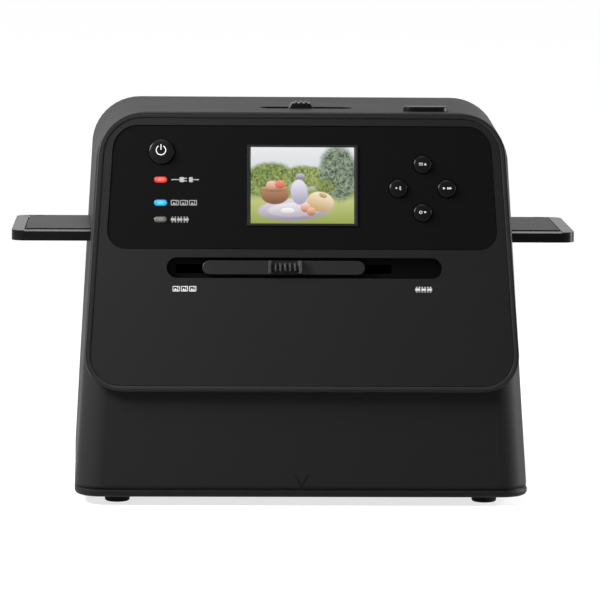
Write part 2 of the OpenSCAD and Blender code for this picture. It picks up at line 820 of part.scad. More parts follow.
module corner_boss(p) {
  translate([p[0], p[1], seat_z]) cylinder(d = boss_d, h = boss_h);
  slab([min(p[0], sign(p[0]) * base_w / 2), p[1] - wall / 2, seat_z],
       [max(p[0], sign(p[0]) * base_w / 2), p[1] + wall / 2, seat_z + boss_h]);
}

module arrow_mark() translate([0, -base_d / 2, seat_z])
  rotate([90 - atan((base_d / 2 + kink_y) / (kink_z - seat_z)), 0, 0])
    translate([0, 0, -arrow_deep]) linear_extrude(arrow_deep + over) polygon([
      [0, skin], [arrow_w / 2, skin + arrow_h], [arrow_w / 2 - arrow_line, skin + arrow_h],
      [0, skin + arrow_line * 2], [arrow_line - arrow_w / 2, skin + arrow_h],
      [-arrow_w / 2, skin + arrow_h]
    ]);

module tray_cut(gap) slab(
  [-base_w, -tray_w / 2 - gap, tray_z - gap], [base_w, tray_w / 2 + gap, tray_top + gap]);

module body_shell() color([0.3, 0.3, 0.31]) difference() {
  union() {
    difference() {
      body_form(0);
      body_form(wall);
    }
    on_face() depth(0, collar_t) face_outline(0);
    on_back() translate([0, cover_up + cover_h / 2, -cover_t - wall])
      linear_extrude(wall) round_rect(cover_w + 2 * wall, cover_h + 2 * wall, cover_r + wall);
    intersection() {
      for (p = boss_points) corner_boss(p);
      body_form(wall / 2);
    }
    for (p = scan_points) translate([p[0], p[1], scan_board_top])
      cylinder(d = stand_d, h = scan_stand + wall / 2);
  }
  on_face() depth(-over, panel_t) face_outline(rim_w);
  on_face() depth(-over, 2 * collar_t) face_outline(rim_w + ledge_w);
  on_back() translate([0, cover_up + cover_h / 2, 0]) {
    translate([0, 0, -cover_t]) linear_extrude(cover_t + over)
      round_rect(cover_w, cover_h, cover_r);
    translate([0, 0, -2 * collar_t]) linear_extrude(2 * collar_t)
      round_rect(cover_w - 2 * cover_ledge, cover_h - 2 * cover_ledge, cover_r - cover_ledge / 2);
    for (p = cover_points) translate([p[0], p[1] - cover_up - cover_h / 2, -small_l - cover_t])
      cylinder(d = small_d + 2 * fit, h = small_l + cover_t);
  }
  tray_cut(2 * play);
  arrow_mark();
  for (p = boss_points) translate([p[0], p[1], seat_z - over])
    cylinder(d = screw_d + 2 * fit, h = screw_l + over);
  for (p = scan_points) translate([p[0], p[1], scan_board_top - over])
    cylinder(d = small_d + 2 * fit, h = small_l + over);
  translate([lens_recess_x, -lens_y, body_h - lens_recess_deep])
    capsule(lens_recess_l, lens_recess_w, lens_recess_deep + over);
  slab([lens_bar_x + (lens_travel - lens_slot_l) / 2, -lens_y - lens_stem_t / 2 - play, ceiling - over],
       [lens_bar_x + (lens_travel + lens_slot_l) / 2, -lens_y + lens_stem_t / 2 + play, body_h]);
  translate([scan_x, -scan_y, ceiling - over])
    capsule(scan_l + 2 * play, scan_w + 2 * play, wall + 2 * over);
}

module rear_cover() color([0.16, 0.16, 0.17]) difference() {
  union() {
    on_back() translate([0, cover_up + cover_h / 2, -cover_t]) linear_extrude(cover_t)
      round_rect(cover_w - 2 * play, cover_h - 2 * play, cover_r - play);
    intersection() {
      for (side = [-1, 1])
        slab([side * (main_w / 2 - 2 * rib_t) - rib_t / 2, board_rear - main_d, main_z - rib_h],
             [side * (main_w / 2 - 2 * rib_t) + rib_t / 2, base_d / 2, main_z]);
      on_back() translate([0, cover_up + cover_h / 2, -base_d])
        linear_extrude(base_d - cover_t / 2) square([cover_w, cover_h], center = true);
    }
  }
  port_cut();
  on_back() for (p = cover_points) translate([p[0], p[1], 0]) {
    translate([0, 0, -small_head_h]) cylinder(d = small_head_d + 2 * play, h = 2 * over + small_head_h);
    translate([0, 0, -cover_t - over]) cylinder(d = small_d + 2 * play, h = cover_t + over);
  }
}

module rear_screws() color([0.35, 0.35, 0.37]) on_back()
  for (p = cover_points) translate([p[0], p[1], 0]) rotate([180, 0, 0])
    screw(small_d, small_l, small_head_d, small_head_h);

// ---- Front panel and what it carries

module front_panel() color([0.19, 0.19, 0.2]) on_face() difference() {
  union() {
    depth(0, panel_t) face_outline(rim_w + groove_w);
    translate([recess_x, -mode_v, -recess_deep - recess_wall])
      capsule(recess_l + 2 * recess_wall, recess_h + 2 * recess_wall, recess_deep);
    for (p = board_points) translate([p[0], p[1], -board_w]) cylinder(d = stand_d, h = stand_h + over);
  }
  depth(-over, window_seat) window_outline(0);
  depth(-over, 2 * panel_t) square([frame_open_w + 2 * hole_gap, frame_open_h + 2 * hole_gap], center = true);
  face_holes(panel_t);
  translate([recess_x, -mode_v, -recess_deep]) capsule(recess_l, recess_h, recess_deep + over);
  translate([-slot_x, -mode_v, -recess_deep - recess_wall - over])
    capsule(slot_l, slot_h, recess_deep + over);
  for (p = board_points) translate([p[0], p[1], -board_w - over])
    cylinder(d = small_d + 2 * fit, h = small_l - board_t + 2 * over);
}

// Holes for the buttons and lights, through everything down to a depth
module face_holes(deep) {
  translate([power_at[0], power_at[1], -deep - over])
    cylinder(d = power_d + 2 * play, h = deep + 2 * over);
  for (p = [up_at, left_at, right_at, down_at]) translate([p[0], p[1], -deep - over])
    cylinder(d = cross_d + 2 * play, h = deep + 2 * over);
  for (p = light_points) translate([p[0], p[1], -deep - over])
    capsule(light_l + 2 * hole_gap, light_h + 2 * hole_gap, deep + 2 * over);
}

module display_window() color([0.06, 0.06, 0.06]) on_face() difference() {
  depth(window_sunk, window_seat) window_outline(hole_gap);
  depth(-over, 2 * panel_t) square([frame_open_w + 2 * hole_gap, frame_open_h + 2 * hole_gap], center = true);
  face_holes(window_seat);
}

module lcd_frame() color([0.25, 0.25, 0.26]) on_face() difference() {
  depth(-screen_proud, panel_t) square([frame_open_w, frame_open_h], center = true);
  depth(-over, panel_t + over) square([screen_w, screen_h], center = true);
}

module lcd_screen() color([0.45, 0.65, 0.8]) on_face()
  depth(screen_sunk, panel_t) square([screen_w - 2 * fit, screen_h - 2 * fit], center = true);

module lcd_can() color([0.6, 0.6, 0.62]) on_face() {
  depth(panel_t, panel_t + can_t)
    square([frame_open_w + 2 * screen_rim, frame_open_h + 2 * screen_rim], center = true);
  depth(panel_t + can_t, board_w) difference() {
    square([frame_open_w, frame_open_h], center = true);
    square([screen_w, screen_h], center = true);
  }
}

module control_board() color([0.05, 0.3, 0.16]) on_face() difference() {
  depth(board_w, board_w + board_t)
    translate([-board_half, -board_bottom]) square([2 * board_half, board_top + board_bottom]);
  for (p = board_points) translate([p[0], p[1], -board_w - board_t - over])
    cylinder(d = small_d + 2 * play, h = board_t + 2 * over);
}

module tact_switches() color([0.3, 0.3, 0.32]) on_face()
  for (p = button_points) translate([p[0], p[1], -board_w]) push_switch();

// A push switch standing on z = 0, with the well that a button's stem enters
module push_switch() difference() {
  linear_extrude(switch_h) square(switch_w, center = true);
  translate([0, 0, switch_h - button_travel - well_spare]) cylinder(d = stem_d + 2 * play, h = switch_h);
}

module status_leds() color([0.9, 0.9, 0.8]) on_face()
  for (p = light_points) translate([p[0], p[1], -board_w])
    linear_extrude(diode_h) square([light_l / 2, light_h / 2], center = true);

module light_pipe(p) on_face() translate([p[0], p[1], 0]) {
  translate([0, 0, diode_h + play - board_w])
    capsule(light_l, light_h, board_w - diode_h - play + window_sunk);
  translate([0, 0, -panel_t - flange_t]) capsule(light_l + flange_w, light_h + flange_w, flange_t);
}

module power_light() color([1, 0.25, 0.2]) light_pipe(light_points[0]);

module photo_light() color([0.2, 0.7, 1]) light_pipe(light_points[1]);

module film_light() color([0.55, 0.55, 0.55]) light_pipe(light_points[2]);

module board_screws() color([0.7, 0.7, 0.72]) {
  on_face() for (p = board_points) translate([p[0], p[1], -board_w - board_t - small_head_h])
    screw(small_d, small_l, small_head_d, small_head_h);
  for (p = scan_points) translate([p[0], p[1], scan_board_top - board_t - small_head_h])
    screw(small_d, small_l, small_head_d, small_head_h);
}

module button(p, d) on_face() translate([p[0], p[1], 0]) {
  translate([0, 0, -flange_z]) cylinder(d = d, h = flange_z + button_proud / 2);
  translate([0, 0, button_proud / 2]) cylinder(d1 = d, d2 = d * button_top, h = button_proud / 2);
  translate([0, 0, -flange_z - flange_t]) cylinder(d = d + 2 * flange_w, h = flange_t);
  translate([0, 0, -switch_w_top - 2 * play]) cylinder(d = stem_d, h = switch_w_top + 2 * play - flange_z);
}

module power_button() color([0.12, 0.12, 0.12]) button(power_at, power_d);

module up_button() color([0.08, 0.08, 0.08]) button(up_at, cross_d);

module left_button() color([0.08, 0.08, 0.08]) button(left_at, cross_d);

module right_button() color([0.08, 0.08, 0.08]) button(right_at, cross_d);

module down_button() color([0.08, 0.08, 0.08]) button(down_at, cross_d);

// ---- Mode slider and backlight

module mode_bar() color([0.22, 0.22, 0.23]) on_face()
  translate([-mode_rest, -mode_v, -bar_back]) capsule(bar_l, bar_h, bar_back - bar_sunk);

module mode_knob() color([0.2, 0.2, 0.21]) on_face()
  translate([-mode_rest, -mode_v, -bar_sunk]) {
    pitch = knob_l / (knob_ribs + 2);
    linear_extrude(knob_proud / 2) square([knob_l, bar_h - play / 2], center = true);
    for (side = [-1, 1]) translate([side * (knob_l - pitch) / 2, 0, 0])
      linear_extrude(knob_proud) square([pitch, bar_h - play / 2], center = true);
    for (i = [1 : knob_ribs]) translate([(i + 0.5) * pitch - knob_l / 2, 0, 0])
      linear_extrude(knob_proud - play) square([pitch / 2, bar_h - play / 2], center = true);
  }

module mode_arm() color([0.1, 0.1, 0.1]) translate([arm_x - arm_l / 2, 0, 0])
  rotate([90, 0, 90]) linear_extrude(arm_l) polygon([
    arm_point(-1, bar_back), arm_point(-1, arm_reach),
    [-carriage_d / 2, arm_z - arm_t / 2], [-carriage_d / 2, arm_z + arm_t / 2],
    arm_point(1, arm_reach), arm_point(1, bar_back)
  ]);

module backlight_carriage() color([0.1, 0.1, 0.1]) difference() {
  slab([carriage_x - carriage_l / 2, -carriage_d / 2, carriage_z],
       [carriage_x + carriage_l / 2, carriage_d / 2, carriage_top]);
  translate([carriage_x, 0, carriage_z + carriage_floor]) linear_extrude(carriage_h)
    square([light_pad_l - 2 * diffuser_ledge, light_pad_d - 2 * diffuser_ledge], center = true);
  translate([carriage_x, 0, carriage_top - diffuser_t]) linear_extrude(carriage_h)
    square([light_pad_l + 2 * hole_gap, light_pad_d + 2 * hole_gap], center = true);
  for (y = [-rod_y, rod_y]) translate([carriage_x - carriage_l / 2 - over, y, rod_z])
    rotate([0, 90, 0]) cylinder(d = rod_d + 2 * fit, h = carriage_l + 2 * over);
}

module backlight_board() color([0.92, 0.92, 0.9])
  translate([carriage_x, 0, carriage_z + carriage_floor]) {
    pad_l = light_pad_l - 2 * diffuser_ledge - 2 * play;
    pad_d = light_pad_d - 2 * diffuser_ledge - 2 * play;
    linear_extrude(board_t) square([pad_l, pad_d], center = true);
    for (i = [-1.5 : 1.5], j = [-1, 0, 1]) translate([i * pad_l / 4, j * pad_d / 3, 0])
      linear_extrude(board_t + diode_h) square(light_h, center = true);
  }

module backlight_diffuser() color([0.97, 0.97, 0.97])
  translate([carriage_x, 0, carriage_top - diffuser_t])
    linear_extrude(diffuser_t) square([light_pad_l, light_pad_d], center = true);

module guide_rods() color([0.7, 0.7, 0.72])
  for (y = [-rod_y, rod_y]) translate([rod_left, y, rod_z]) rotate([0, 90, 0])
    cylinder(d = rod_d, h = rod_right - rod_left);

module detent_spring() color([0.75, 0.72, 0.6]) {
  leaf_z = arm_z + arm_h / 2 + play;
  leaf_y = -(carriage_d + deck_d) / 4;
  slab([arm_x - leaf_l / 2, leaf_y - rail_w / 2, leaf_z],
       [arm_x + leaf_l / 2, leaf_y + rail_w / 2, leaf_z + leaf_t]);
  slab([arm_x - leaf_l / 2, leaf_y - rail_w / 2, leaf_z],
       [arm_x - leaf_l / 2 + leaf_t, leaf_y + rail_w / 2, deck_z]);
  slab([arm_x - leaf_l / 2, leaf_y - rail_w / 2, deck_z - leaf_t],
       [arm_x - leaf_l / 2 + rail_w, leaf_y + rail_w / 2, deck_z]);
}

// ---- Deck, guide and posts

module deck_posts() color([0.6, 0.6, 0.62]) for (p = post_points) translate([p[0], p[1], seat_z])
  difference() {
    union() {
      cylinder(d = post_d, h = deck_z - seat_z);
      cylinder(d = spigot_d, h = deck_top - play - seat_z);
    }
    translate([0, 0, -over]) cylinder(d = screw_d + 2 * fit, h = screw_l + over);
  }

module film_deck() color([0.13, 0.13, 0.14]) difference() {
  union() {
    slab([-deck_half, -deck_d / 2, deck_z], [deck_half, deck_d / 2, deck_top]);
    for (y = [-rod_y, rod_y]) {
      slab([rod_left, y - bracket_w / 2, deck_z], [rod_right, y + bracket_w / 2, deck_top]);
      for (x = [rod_left, rod_right - bracket_t])
        slab([x, y - bracket_w / 2, carriage_z], [x + bracket_t, y + bracket_w / 2, deck_z + over]);
    }
  }
  translate([0, 0, deck_z - over]) linear_extrude(deck_t + 2 * over)
    square([gate_l, gate_d], center = true);
  for (p = post_points) translate([p[0], p[1], deck_z - over])
    cylinder(d = spigot_d + 2 * fit, h = deck_t + 2 * over);
  for (p = guide_points) translate([p[0], p[1], deck_z - over])
    cylinder(d = small_d + 2 * fit, h = deck_t + 2 * over);
  for (y = [-rod_y, rod_y]) translate([rod_left - over, y, rod_z]) rotate([0, 90, 0])
    cylinder(d = rod_d + 2 * fit, h = rod_right - rod_left + 2 * over);
}

module upper_guide() color([0.13, 0.13, 0.14]) difference() {
  union() {
    slab([-guide_l / 2, -rail_y - rail_w, guide_z], [guide_l / 2, rail_y + rail_w, guide_top]);
    for (side = [-1, 1]) translate([0, side * (rail_y + rail_w / 2), deck_top])
      linear_extrude(guide_z - deck_top + over) square([guide_l, rail_w], center = true);
  }
  translate([0, 0, guide_z - over]) linear_extrude(guide_t + 2 * over)
    square([port_l, port_d], center = true);
  for (p = guide_points) translate([p[0], p[1], deck_top - over])
    cylinder(d = small_d + 2 * play, h = guide_top - deck_top + 2 * over);
}

module guide_screws() color([0.7, 0.7, 0.72])
  for (p = guide_points) translate([p[0], p[1], guide_top + small_head_h]) rotate([180, 0, 0])
    screw(small_d, guide_top - deck_z, small_head_d, small_head_h);

module slot_seal(side) translate([side * (deck_half + seal_t / 2), 0, tray_z + tray_t / 2])
  rotate([0, 90, 0]) translate([0, 0, -seal_t / 2]) linear_extrude(seal_t) difference() {
    square([seal_h, seal_w], center = true);
    square([tray_t + 2 * play, tray_w + 2 * play], center = true);
  }

module slot_seal_left() color([0.05, 0.05, 0.05]) slot_seal(-1);

module slot_seal_right() color([0.05, 0.05, 0.05]) slot_seal(1);

// ---- Film tray

module frame_windows(z) for (i = [0 : frames - 1])
  translate([(i - (frames - 1) / 2) * frame_pitch, 0, z]) linear_extrude(tray_t)
    square([frame_w, frame_d], center = true);

module hinge_pin(gap) for (side = [-1, 1])
  translate([side * (lid_l - hinge_d) / 2, hinge_y, hinge_z]) rotate([0, 90, 0])
    cylinder(d = hinge_d + 2 * gap, h = hinge_l + 2 * gap, center = true);

module film_tray() color([0.1, 0.1, 0.1]) translate([-tray_rest, 0, tray_z]) difference() {
  linear_extrude(tray_t) round_rect(tray_l, tray_w, tray_r);
  slab([-lid_l / 2, lid_front, lid_seat], [lid_l / 2, tray_w, tray_t + over]);
  slab([-lid_l / 2, -tray_w, tray_t - tray_step], [lid_l / 2, lid_front + over, tray_t + over]);
  slab([-lid_l / 2 + tray_end, -film_w / 2, lid_seat - film_deep],
       [lid_l / 2 - tray_end, film_w / 2, tray_t]);
  frame_windows(-over);
  hinge_pin(fit);
}

module tray_lid() color([0.14, 0.14, 0.14]) translate([-tray_rest, 0, tray_z]) difference() {
  slab([lid_gap - lid_l / 2, lid_front + lid_gap, tray_t - lid_t],
       [lid_l / 2 - lid_gap, tray_w / 2, tray_t]);
  frame_windows(lid_seat);
  hinge_pin(fit);
}

module tray_hinge_pins() color([0.75, 0.75, 0.77]) translate([-tray_rest, 0, tray_z]) hinge_pin(0);

// ---- Camera

module light_hood() color([0.08, 0.08, 0.08]) translate([0, 0, guide_top]) difference() {
  tier = hood_h / hood_tiers;
  union() {
    for (i = [0 : hood_tiers - 1]) linear_extrude(tier * (i + 1))
      square([hood_l - hood_step_l * i, hood_d - hood_step_d * i], center = true);
    translate([0, 0, hood_h - hood_wall]) linear_extrude(hood_wall)
      square([leg_gap - 2 * play, 2 * (camera_front + lens_y)], center = true);
    for (y = [-lens_y - lens_stem_t / 2 - play - hood_wall, camera_front])
      translate([-ledge_l / 2, y, hood_h - over])
        cube([ledge_l, hood_wall, macro_t + over]);
  }
  for (i = [0 : hood_tiers - 1]) translate([0, 0, -over]) linear_extrude(tier * (i + 1) - hood_wall + over)
    square([hood_l - hood_step_l * i - 2 * hood_wall,
            hood_d - hood_step_d * i - 2 * hood_wall], center = true);
  translate([0, 0, -over]) cylinder(d = barrel_d, h = hood_h + 2 * over);
}

module camera_bracket() color([0.5, 0.5, 0.52]) difference() {
  union() {
    slab([-leg_gap / 2 - leg_t, -camera_front, shelf_z],
         [leg_gap / 2 + leg_t, sensor_d - camera_front, holder_z]);
    for (side = [-1, 1]) translate([side * (leg_gap + leg_t) / 2, sensor_d / 2 - camera_front, guide_top])
      linear_extrude(shelf_z - guide_top + over / 2) square([leg_t, sensor_d], center = true);
  }
  translate([0, 0, shelf_z - over]) cylinder(d = barrel_d + 2 * fit, h = hood_wall + 2 * over);
}

module lens_barrel() color([0.1, 0.1, 0.1]) difference() {
  union() {
    translate([0, 0, barrel_z]) cylinder(d = barrel_d, h = sensor_z - barrel_z);
    slab([-camera_front - holder_side, -camera_front, holder_z],
         [camera_front + holder_side, camera_front, sensor_z]);
  }
  translate([0, 0, barrel_z - over]) cylinder(d = glass_d + 2 * fit, h = holder_h);
  translate([0, 0, barrel_z - over])
    cylinder(d = glass_d - 2 * glass_lip, h = sensor_z - barrel_z + 2 * over);
}

module lens_glass() color([0.6, 0.7, 0.8, 0.5])
  translate([0, 0, barrel_z + holder_h - over - hood_wall]) cylinder(d = glass_d, h = hood_wall);

module sensor_board() color([0.05, 0.3, 0.16]) {
  slab([-sensor_w / 2, -camera_front, sensor_z], [sensor_w / 2, sensor_d - camera_front, sensor_z + board_t]);
  slab([-sensor_chip / 2, camera_front, sensor_z + board_t],
       [sensor_chip / 2, sensor_d - 2 * camera_front, sensor_z + board_t + diode_h]);
}

// ---- Lens slider

module lens_switch() color([0.13, 0.13, 0.13]) translate([lens_bar_x, -lens_y, 0]) {
  translate([0, 0, lens_bar_z]) capsule(lens_bar_l, lens_bar_w, lens_knob_z - lens_bar_z);
  translate([lens_knob_x, lens_knob_w / 2, lens_knob_z]) rotate([90, 0, 0])
    linear_extrude(lens_knob_w) polygon([
      [-lens_knob_l / 2, 0], [lens_knob_l / 2, 0],
      [lens_knob_top / 2, lens_knob_h], [-lens_knob_top / 2, lens_knob_h]
    ]);
  for (i = [0 : lens_ribs - 1])
    translate([lens_knob_x + (i - (lens_ribs - 1) / 2) * 2 * lens_rib, 0, lens_knob_z])
      linear_extrude(lens_knob_h + lens_rib) square([lens_rib, lens_knob_w - 2 * play], center = true);
}

module macro_carriage() color([0.1, 0.1, 0.1]) difference() {
  union() {
    slab([-lens_travel - macro_d / 2 - hood_wall, -lens_y - lens_stem_t / 2, macro_z],
         [macro_d / 2 + hood_wall, camera_front - play, macro_top]);
    slab([lens_bar_x - lens_stem_l / 2, -lens_y - lens_stem_t / 2, macro_z],
         [lens_bar_x + lens_stem_l / 2, -lens_y + lens_stem_t / 2, lens_bar_z]);
  }
  translate([0, 0, macro_top - macro_glass_t]) cylinder(d = macro_d + 2 * fit, h = macro_t);
  for (x = [0, -lens_travel]) translate([x, 0, macro_z - over])
    cylinder(d = macro_d - 2 * macro_lip, h = macro_t + 2 * over);
}

module macro_lens() color([0.6, 0.7, 0.8, 0.5]) translate([0, 0, macro_top - macro_glass_t])
  cylinder(d = macro_d, h = macro_glass_t - play / 2);

// ---- Scan button

module scan_button() color([0.1, 0.1, 0.1]) translate([scan_x, -scan_y, 0]) {
  translate([0, 0, scan_flange_z]) capsule(scan_l, scan_w, body_h + scan_proud - scan_flange_z);
  translate([0, 0, scan_flange_z]) capsule(scan_l + 2 * flange_w, scan_w, flange_t);
  translate([0, 0, scan_board_top + switch_h - 2 * play])
    cylinder(d = stem_d, h = scan_flange_z - scan_board_top - switch_h + 2 * play);
}

module scan_switch() color([0.05, 0.3, 0.16]) {
  translate([scan_x, -scan_y, scan_board_top]) difference() {
    linear_extrude(switch_h) square(switch_w, center = true);
    translate([0, 0, switch_h - scan_travel - well_spare]) cylinder(d = stem_d + 2 * play, h = switch_h);
  }
  difference() {
    translate([scan_x, -scan_y, scan_board_top - board_t]) linear_extrude(board_t)
      square([scan_board_l, scan_w - 2 * play], center = true);
    for (p = scan_points) translate([p[0], p[1], scan_board_top - board_t - over])
      cylinder(d = small_d + 2 * play, h = board_t + 2 * over);
  }
}

// ---- Main board, ports and cables

module main_board() color([0.05, 0.3, 0.16]) {
  slab([-main_w / 2, board_rear - main_d, main_z], [main_w / 2, board_rear, main_top]);
  for (x = [-chip_x - chip_pitch, -chip_x]) translate([x, board_rear - main_d / 2, main_top])
    linear_extrude(diode_h) square(chip_w, center = true);
}

module usb_port() color([0.75, 0.75, 0.77]) translate([-usb_x, board_rear + wall - play, main_top])
  difference() {
    slab([-usb_w / 2, -usb_l, 0], [usb_w / 2, 0, usb_h]);
    translate([0, over, usb_h / 2]) rotate([90, 0, 0])
      capsule(usb_w - 2 * port_wall, usb_h - 2 * port_wall, usb_l - port_back + over);
  }

module card_socket() color([0.75, 0.75, 0.77]) translate([card_x, board_rear, main_top]) difference() {
  slab([-card_w / 2, -card_l, 0], [card_w / 2, 0, card_h]);
  slab([2 * port_wall - card_w / 2, port_back - card_l, port_wall],
       [card_w / 2 - 2 * port_wall, over, card_h - port_wall]);
}

// Openings in the rear cover for the data port and the card
module port_cut() {
  slab([-usb_x - usb_w / 2 - play, board_rear - play, main_top - play],
       [-usb_x + usb_w / 2 + play, base_d, main_top + usb_h + play]);
  slab([card_x - card_w / 2, board_rear - play, main_top],
       [card_x + card_w / 2, base_d, main_top + card_h]);
}

// A flat cable through a list of corners in the Y-Z plane
module ribbon(points, x, w) for (i = [0 : len(points) - 2]) {
  a = points[i];
  b = points[i + 1];
  slab([x - w / 2, min(a[0], b[0]) - cable_t / 2, min(a[1], b[1]) - cable_t / 2],
       [x + w / 2, max(a[0], b[0]) + cable_t / 2, max(a[1], b[1]) + cable_t / 2]);
}

module display_cable() color([0.85, 0.85, 0.8]) {
  on_face() translate([cable_x, cable_v, -board_w - board_t - plug_t]) linear_extrude(plug_t)
    square([cable_w + plug_t, plug_h], center = true);
  ribbon([[cable_y, cable_top], [cable_y, cable_drop],
          [cable_rear, cable_drop], [cable_rear, main_top + cable_t / 2],
          [cable_rear + cable_end, main_top + cable_t / 2]], cable_x, cable_w);
}

module sensor_cable() color([0.85, 0.85, 0.8]) {
  back = deck_d / 2 + cable_clear;
  top = sensor_z + board_t + cable_t / 2;
  ribbon([[sensor_d - camera_front - cable_end, top], [back, top], [back, main_top + cable_t / 2],
          [back + cable_end, main_top + cable_t / 2]], 0, cable_w);
}

// ---- Photo lamps

module photo_lamp(side) translate([side * (lamp_x - board_t), 0, lamp_z]) {
  slab([min(0, side * board_t), -lamp_l / 2, 0], [max(0, side * board_t), lamp_l / 2, lamp_h]);
  for (i = [0 : lamp_diodes - 1])
    translate([0, (i - (lamp_diodes - 1) / 2) * lamp_l / lamp_diodes, lamp_h / 2])
      slab([min(0, -side * diode_h), -light_h / 2, -light_h / 2],
           [max(0, -side * diode_h), light_h / 2, light_h / 2]);
}

module lamp_diffuser(side) translate([side * (lamp_x - board_t - lamp_deep), 0, lamp_z])
  difference() {
    slab([min(0, side * lamp_deep), -lamp_l / 2, 0], [max(0, side * lamp_deep), lamp_l / 2, lamp_h]);
    slab([side * (lamp_deep + diffuser_t) / 2 - lamp_deep / 2, -lamp_l, diffuser_t / 2],
         [side * (lamp_deep + diffuser_t) / 2 + lamp_deep / 2, lamp_l, lamp_h - diffuser_t / 2]);
  }

module photo_lamp_left() color([0.92, 0.92, 0.85]) photo_lamp(-1);

module photo_lamp_right() color([0.92, 0.92, 0.85]) photo_lamp(1);

module lamp_diffuser_left() color([0.97, 0.97, 0.97]) lamp_diffuser(-1);

module lamp_diffuser_right() color([0.97, 0.97, 0.97]) lamp_diffuser(1);

base_plate();
feet();
base_screws();
body_shell();
rear_cover();
rear_screws();
front_panel();
display_window();
lcd_frame();
lcd_screen();
lcd_can();
control_board();
tact_switches();
status_leds();
power_light();
photo_light();
film_light();
board_screws();
deck_posts();
film_deck();
upper_guide();
guide_screws();
guide_rods();
light_hood();
camera_bracket();
lens_barrel();
lens_glass();
sensor_board();
sensor_cable();
photo_lamp_left();
photo_lamp_right();
lamp_diffuser_left();
lamp_diffuser_right();
main_board();
usb_port();
card_socket();
display_cable();
scan_switch();
slot_seal_left();
slot_seal_right();
detent_spring();
film_tray();
tray_lid();
tray_hinge_pins();
mode_bar();
mode_knob();
mode_arm();
backlight_carriage();
backlight_board();
backlight_diffuser();
lens_switch();
macro_carriage();
macro_lens();
power_button();
up_button();
left_button();
right_button();
down_button();
scan_button();
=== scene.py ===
import json
import math
import bpy
import bmesh
from mathutils import Matrix, Vector

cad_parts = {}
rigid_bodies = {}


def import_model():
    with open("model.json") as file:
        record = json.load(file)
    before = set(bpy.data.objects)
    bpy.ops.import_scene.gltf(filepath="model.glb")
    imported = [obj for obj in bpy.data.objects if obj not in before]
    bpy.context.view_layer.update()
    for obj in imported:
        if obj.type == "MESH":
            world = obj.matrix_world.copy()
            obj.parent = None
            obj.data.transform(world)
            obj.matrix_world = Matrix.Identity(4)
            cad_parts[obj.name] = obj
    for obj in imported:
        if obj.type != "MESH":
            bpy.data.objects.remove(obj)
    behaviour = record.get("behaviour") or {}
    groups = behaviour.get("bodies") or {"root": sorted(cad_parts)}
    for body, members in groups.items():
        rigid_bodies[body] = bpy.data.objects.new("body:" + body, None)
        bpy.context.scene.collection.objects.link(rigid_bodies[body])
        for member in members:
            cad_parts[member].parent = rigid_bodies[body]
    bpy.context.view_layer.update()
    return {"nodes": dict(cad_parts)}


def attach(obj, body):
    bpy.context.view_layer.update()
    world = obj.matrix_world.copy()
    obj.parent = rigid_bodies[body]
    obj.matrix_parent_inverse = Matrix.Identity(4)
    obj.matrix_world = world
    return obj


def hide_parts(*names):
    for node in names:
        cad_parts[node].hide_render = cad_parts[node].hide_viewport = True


for leftover in list(bpy.data.objects):
    bpy.data.objects.remove(leftover)
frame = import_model()
nodes = frame["nodes"]
mm = 0.001  # the dictionaries below are in millimetres
near = 0.001  # closer than this, in millimetres, counts as touching
past = 2.0  # how far most cutters run past what they cut
roundShare, weldShare = 0.4995, 0.005  # a capsule's corner and weld as parts of its width
sides = (-1, 1)
print("frame loaded:", len(nodes), "nodes")


# small helpers for modelling

def freshStart():
    if bpy.context.mode != "OBJECT":
        bpy.ops.object.mode_set(mode="OBJECT")
    bpy.ops.object.select_all(action="DESELECT")


def wholePiece(piece):
    freshStart()
    piece.select_set(True)
    bpy.context.view_layer.objects.active = piece


def rename(piece, name):
    piece.name = name
    piece.data.name = name
    return piece


def newPiece(name, adder, **settings):
    freshStart()
    adder(**settings)
    bpy.ops.object.transform_apply(location=True, rotation=True, scale=True)
    return rename(bpy.context.active_object, name)


def pickOut(piece, kind, wanted):
    # opens the piece in edit mode with only the wanted verts, edges or faces selected
    wholePiece(piece)
    bpy.ops.object.mode_set(mode="EDIT")
    bpy.ops.mesh.select_mode(type=kind)
    bpy.ops.mesh.select_all(action="DESELECT")
    shape = bmesh.from_edit_mesh(piece.data)
    shape.normal_update()
    if kind == "FACE":
        seen = [(face, face.calc_center_median(), face.normal) for face in shape.faces]
    elif kind == "EDGE":
        seen = [(edge, edge.verts[0].co, edge.verts[1].co) for edge in shape.edges]
    else:
        seen = [(vert, vert.co) for vert in shape.verts]
    for part, *where in seen:
        part.select_set(bool(wanted(*where)))
    bmesh.update_edit_mesh(piece.data)


def everything(*where):
    return True


def facesUp(centre, normal):
    return normal.z > 0.999


def facesDown(centre, normal):
    return normal.z < -0.999


def doneEditing():
    bpy.ops.object.mode_set(mode="OBJECT")


def pull(rise):
    bpy.ops.mesh.extrude_region_move(TRANSFORM_OT_translate={"value": (0, 0, rise * mm)})


def drawIn(inwards, rise=0.0):
    bpy.ops.mesh.inset(thickness=inwards * mm, depth=rise * mm)


def dropFaces():
    bpy.ops.mesh.delete(type="FACE")


def narrowTop(piece, wide, deep, x=0.0, y=0.0):
    # scales the top face about a point, so that the sides slope
    pickOut(piece, "FACE", facesUp)
    bpy.ops.transform.resize(value=(wide, deep, 1), center_override=(x * mm, y * mm, 0))
    doneEditing()
    return piece


def fixNormals(piece):
    pickOut(piece, "FACE", everything)
    bpy.ops.mesh.remove_doubles(threshold=2 * near * mm)
    bpy.ops.mesh.normals_make_consistent(inside=False)
    doneEditing()
    return piece


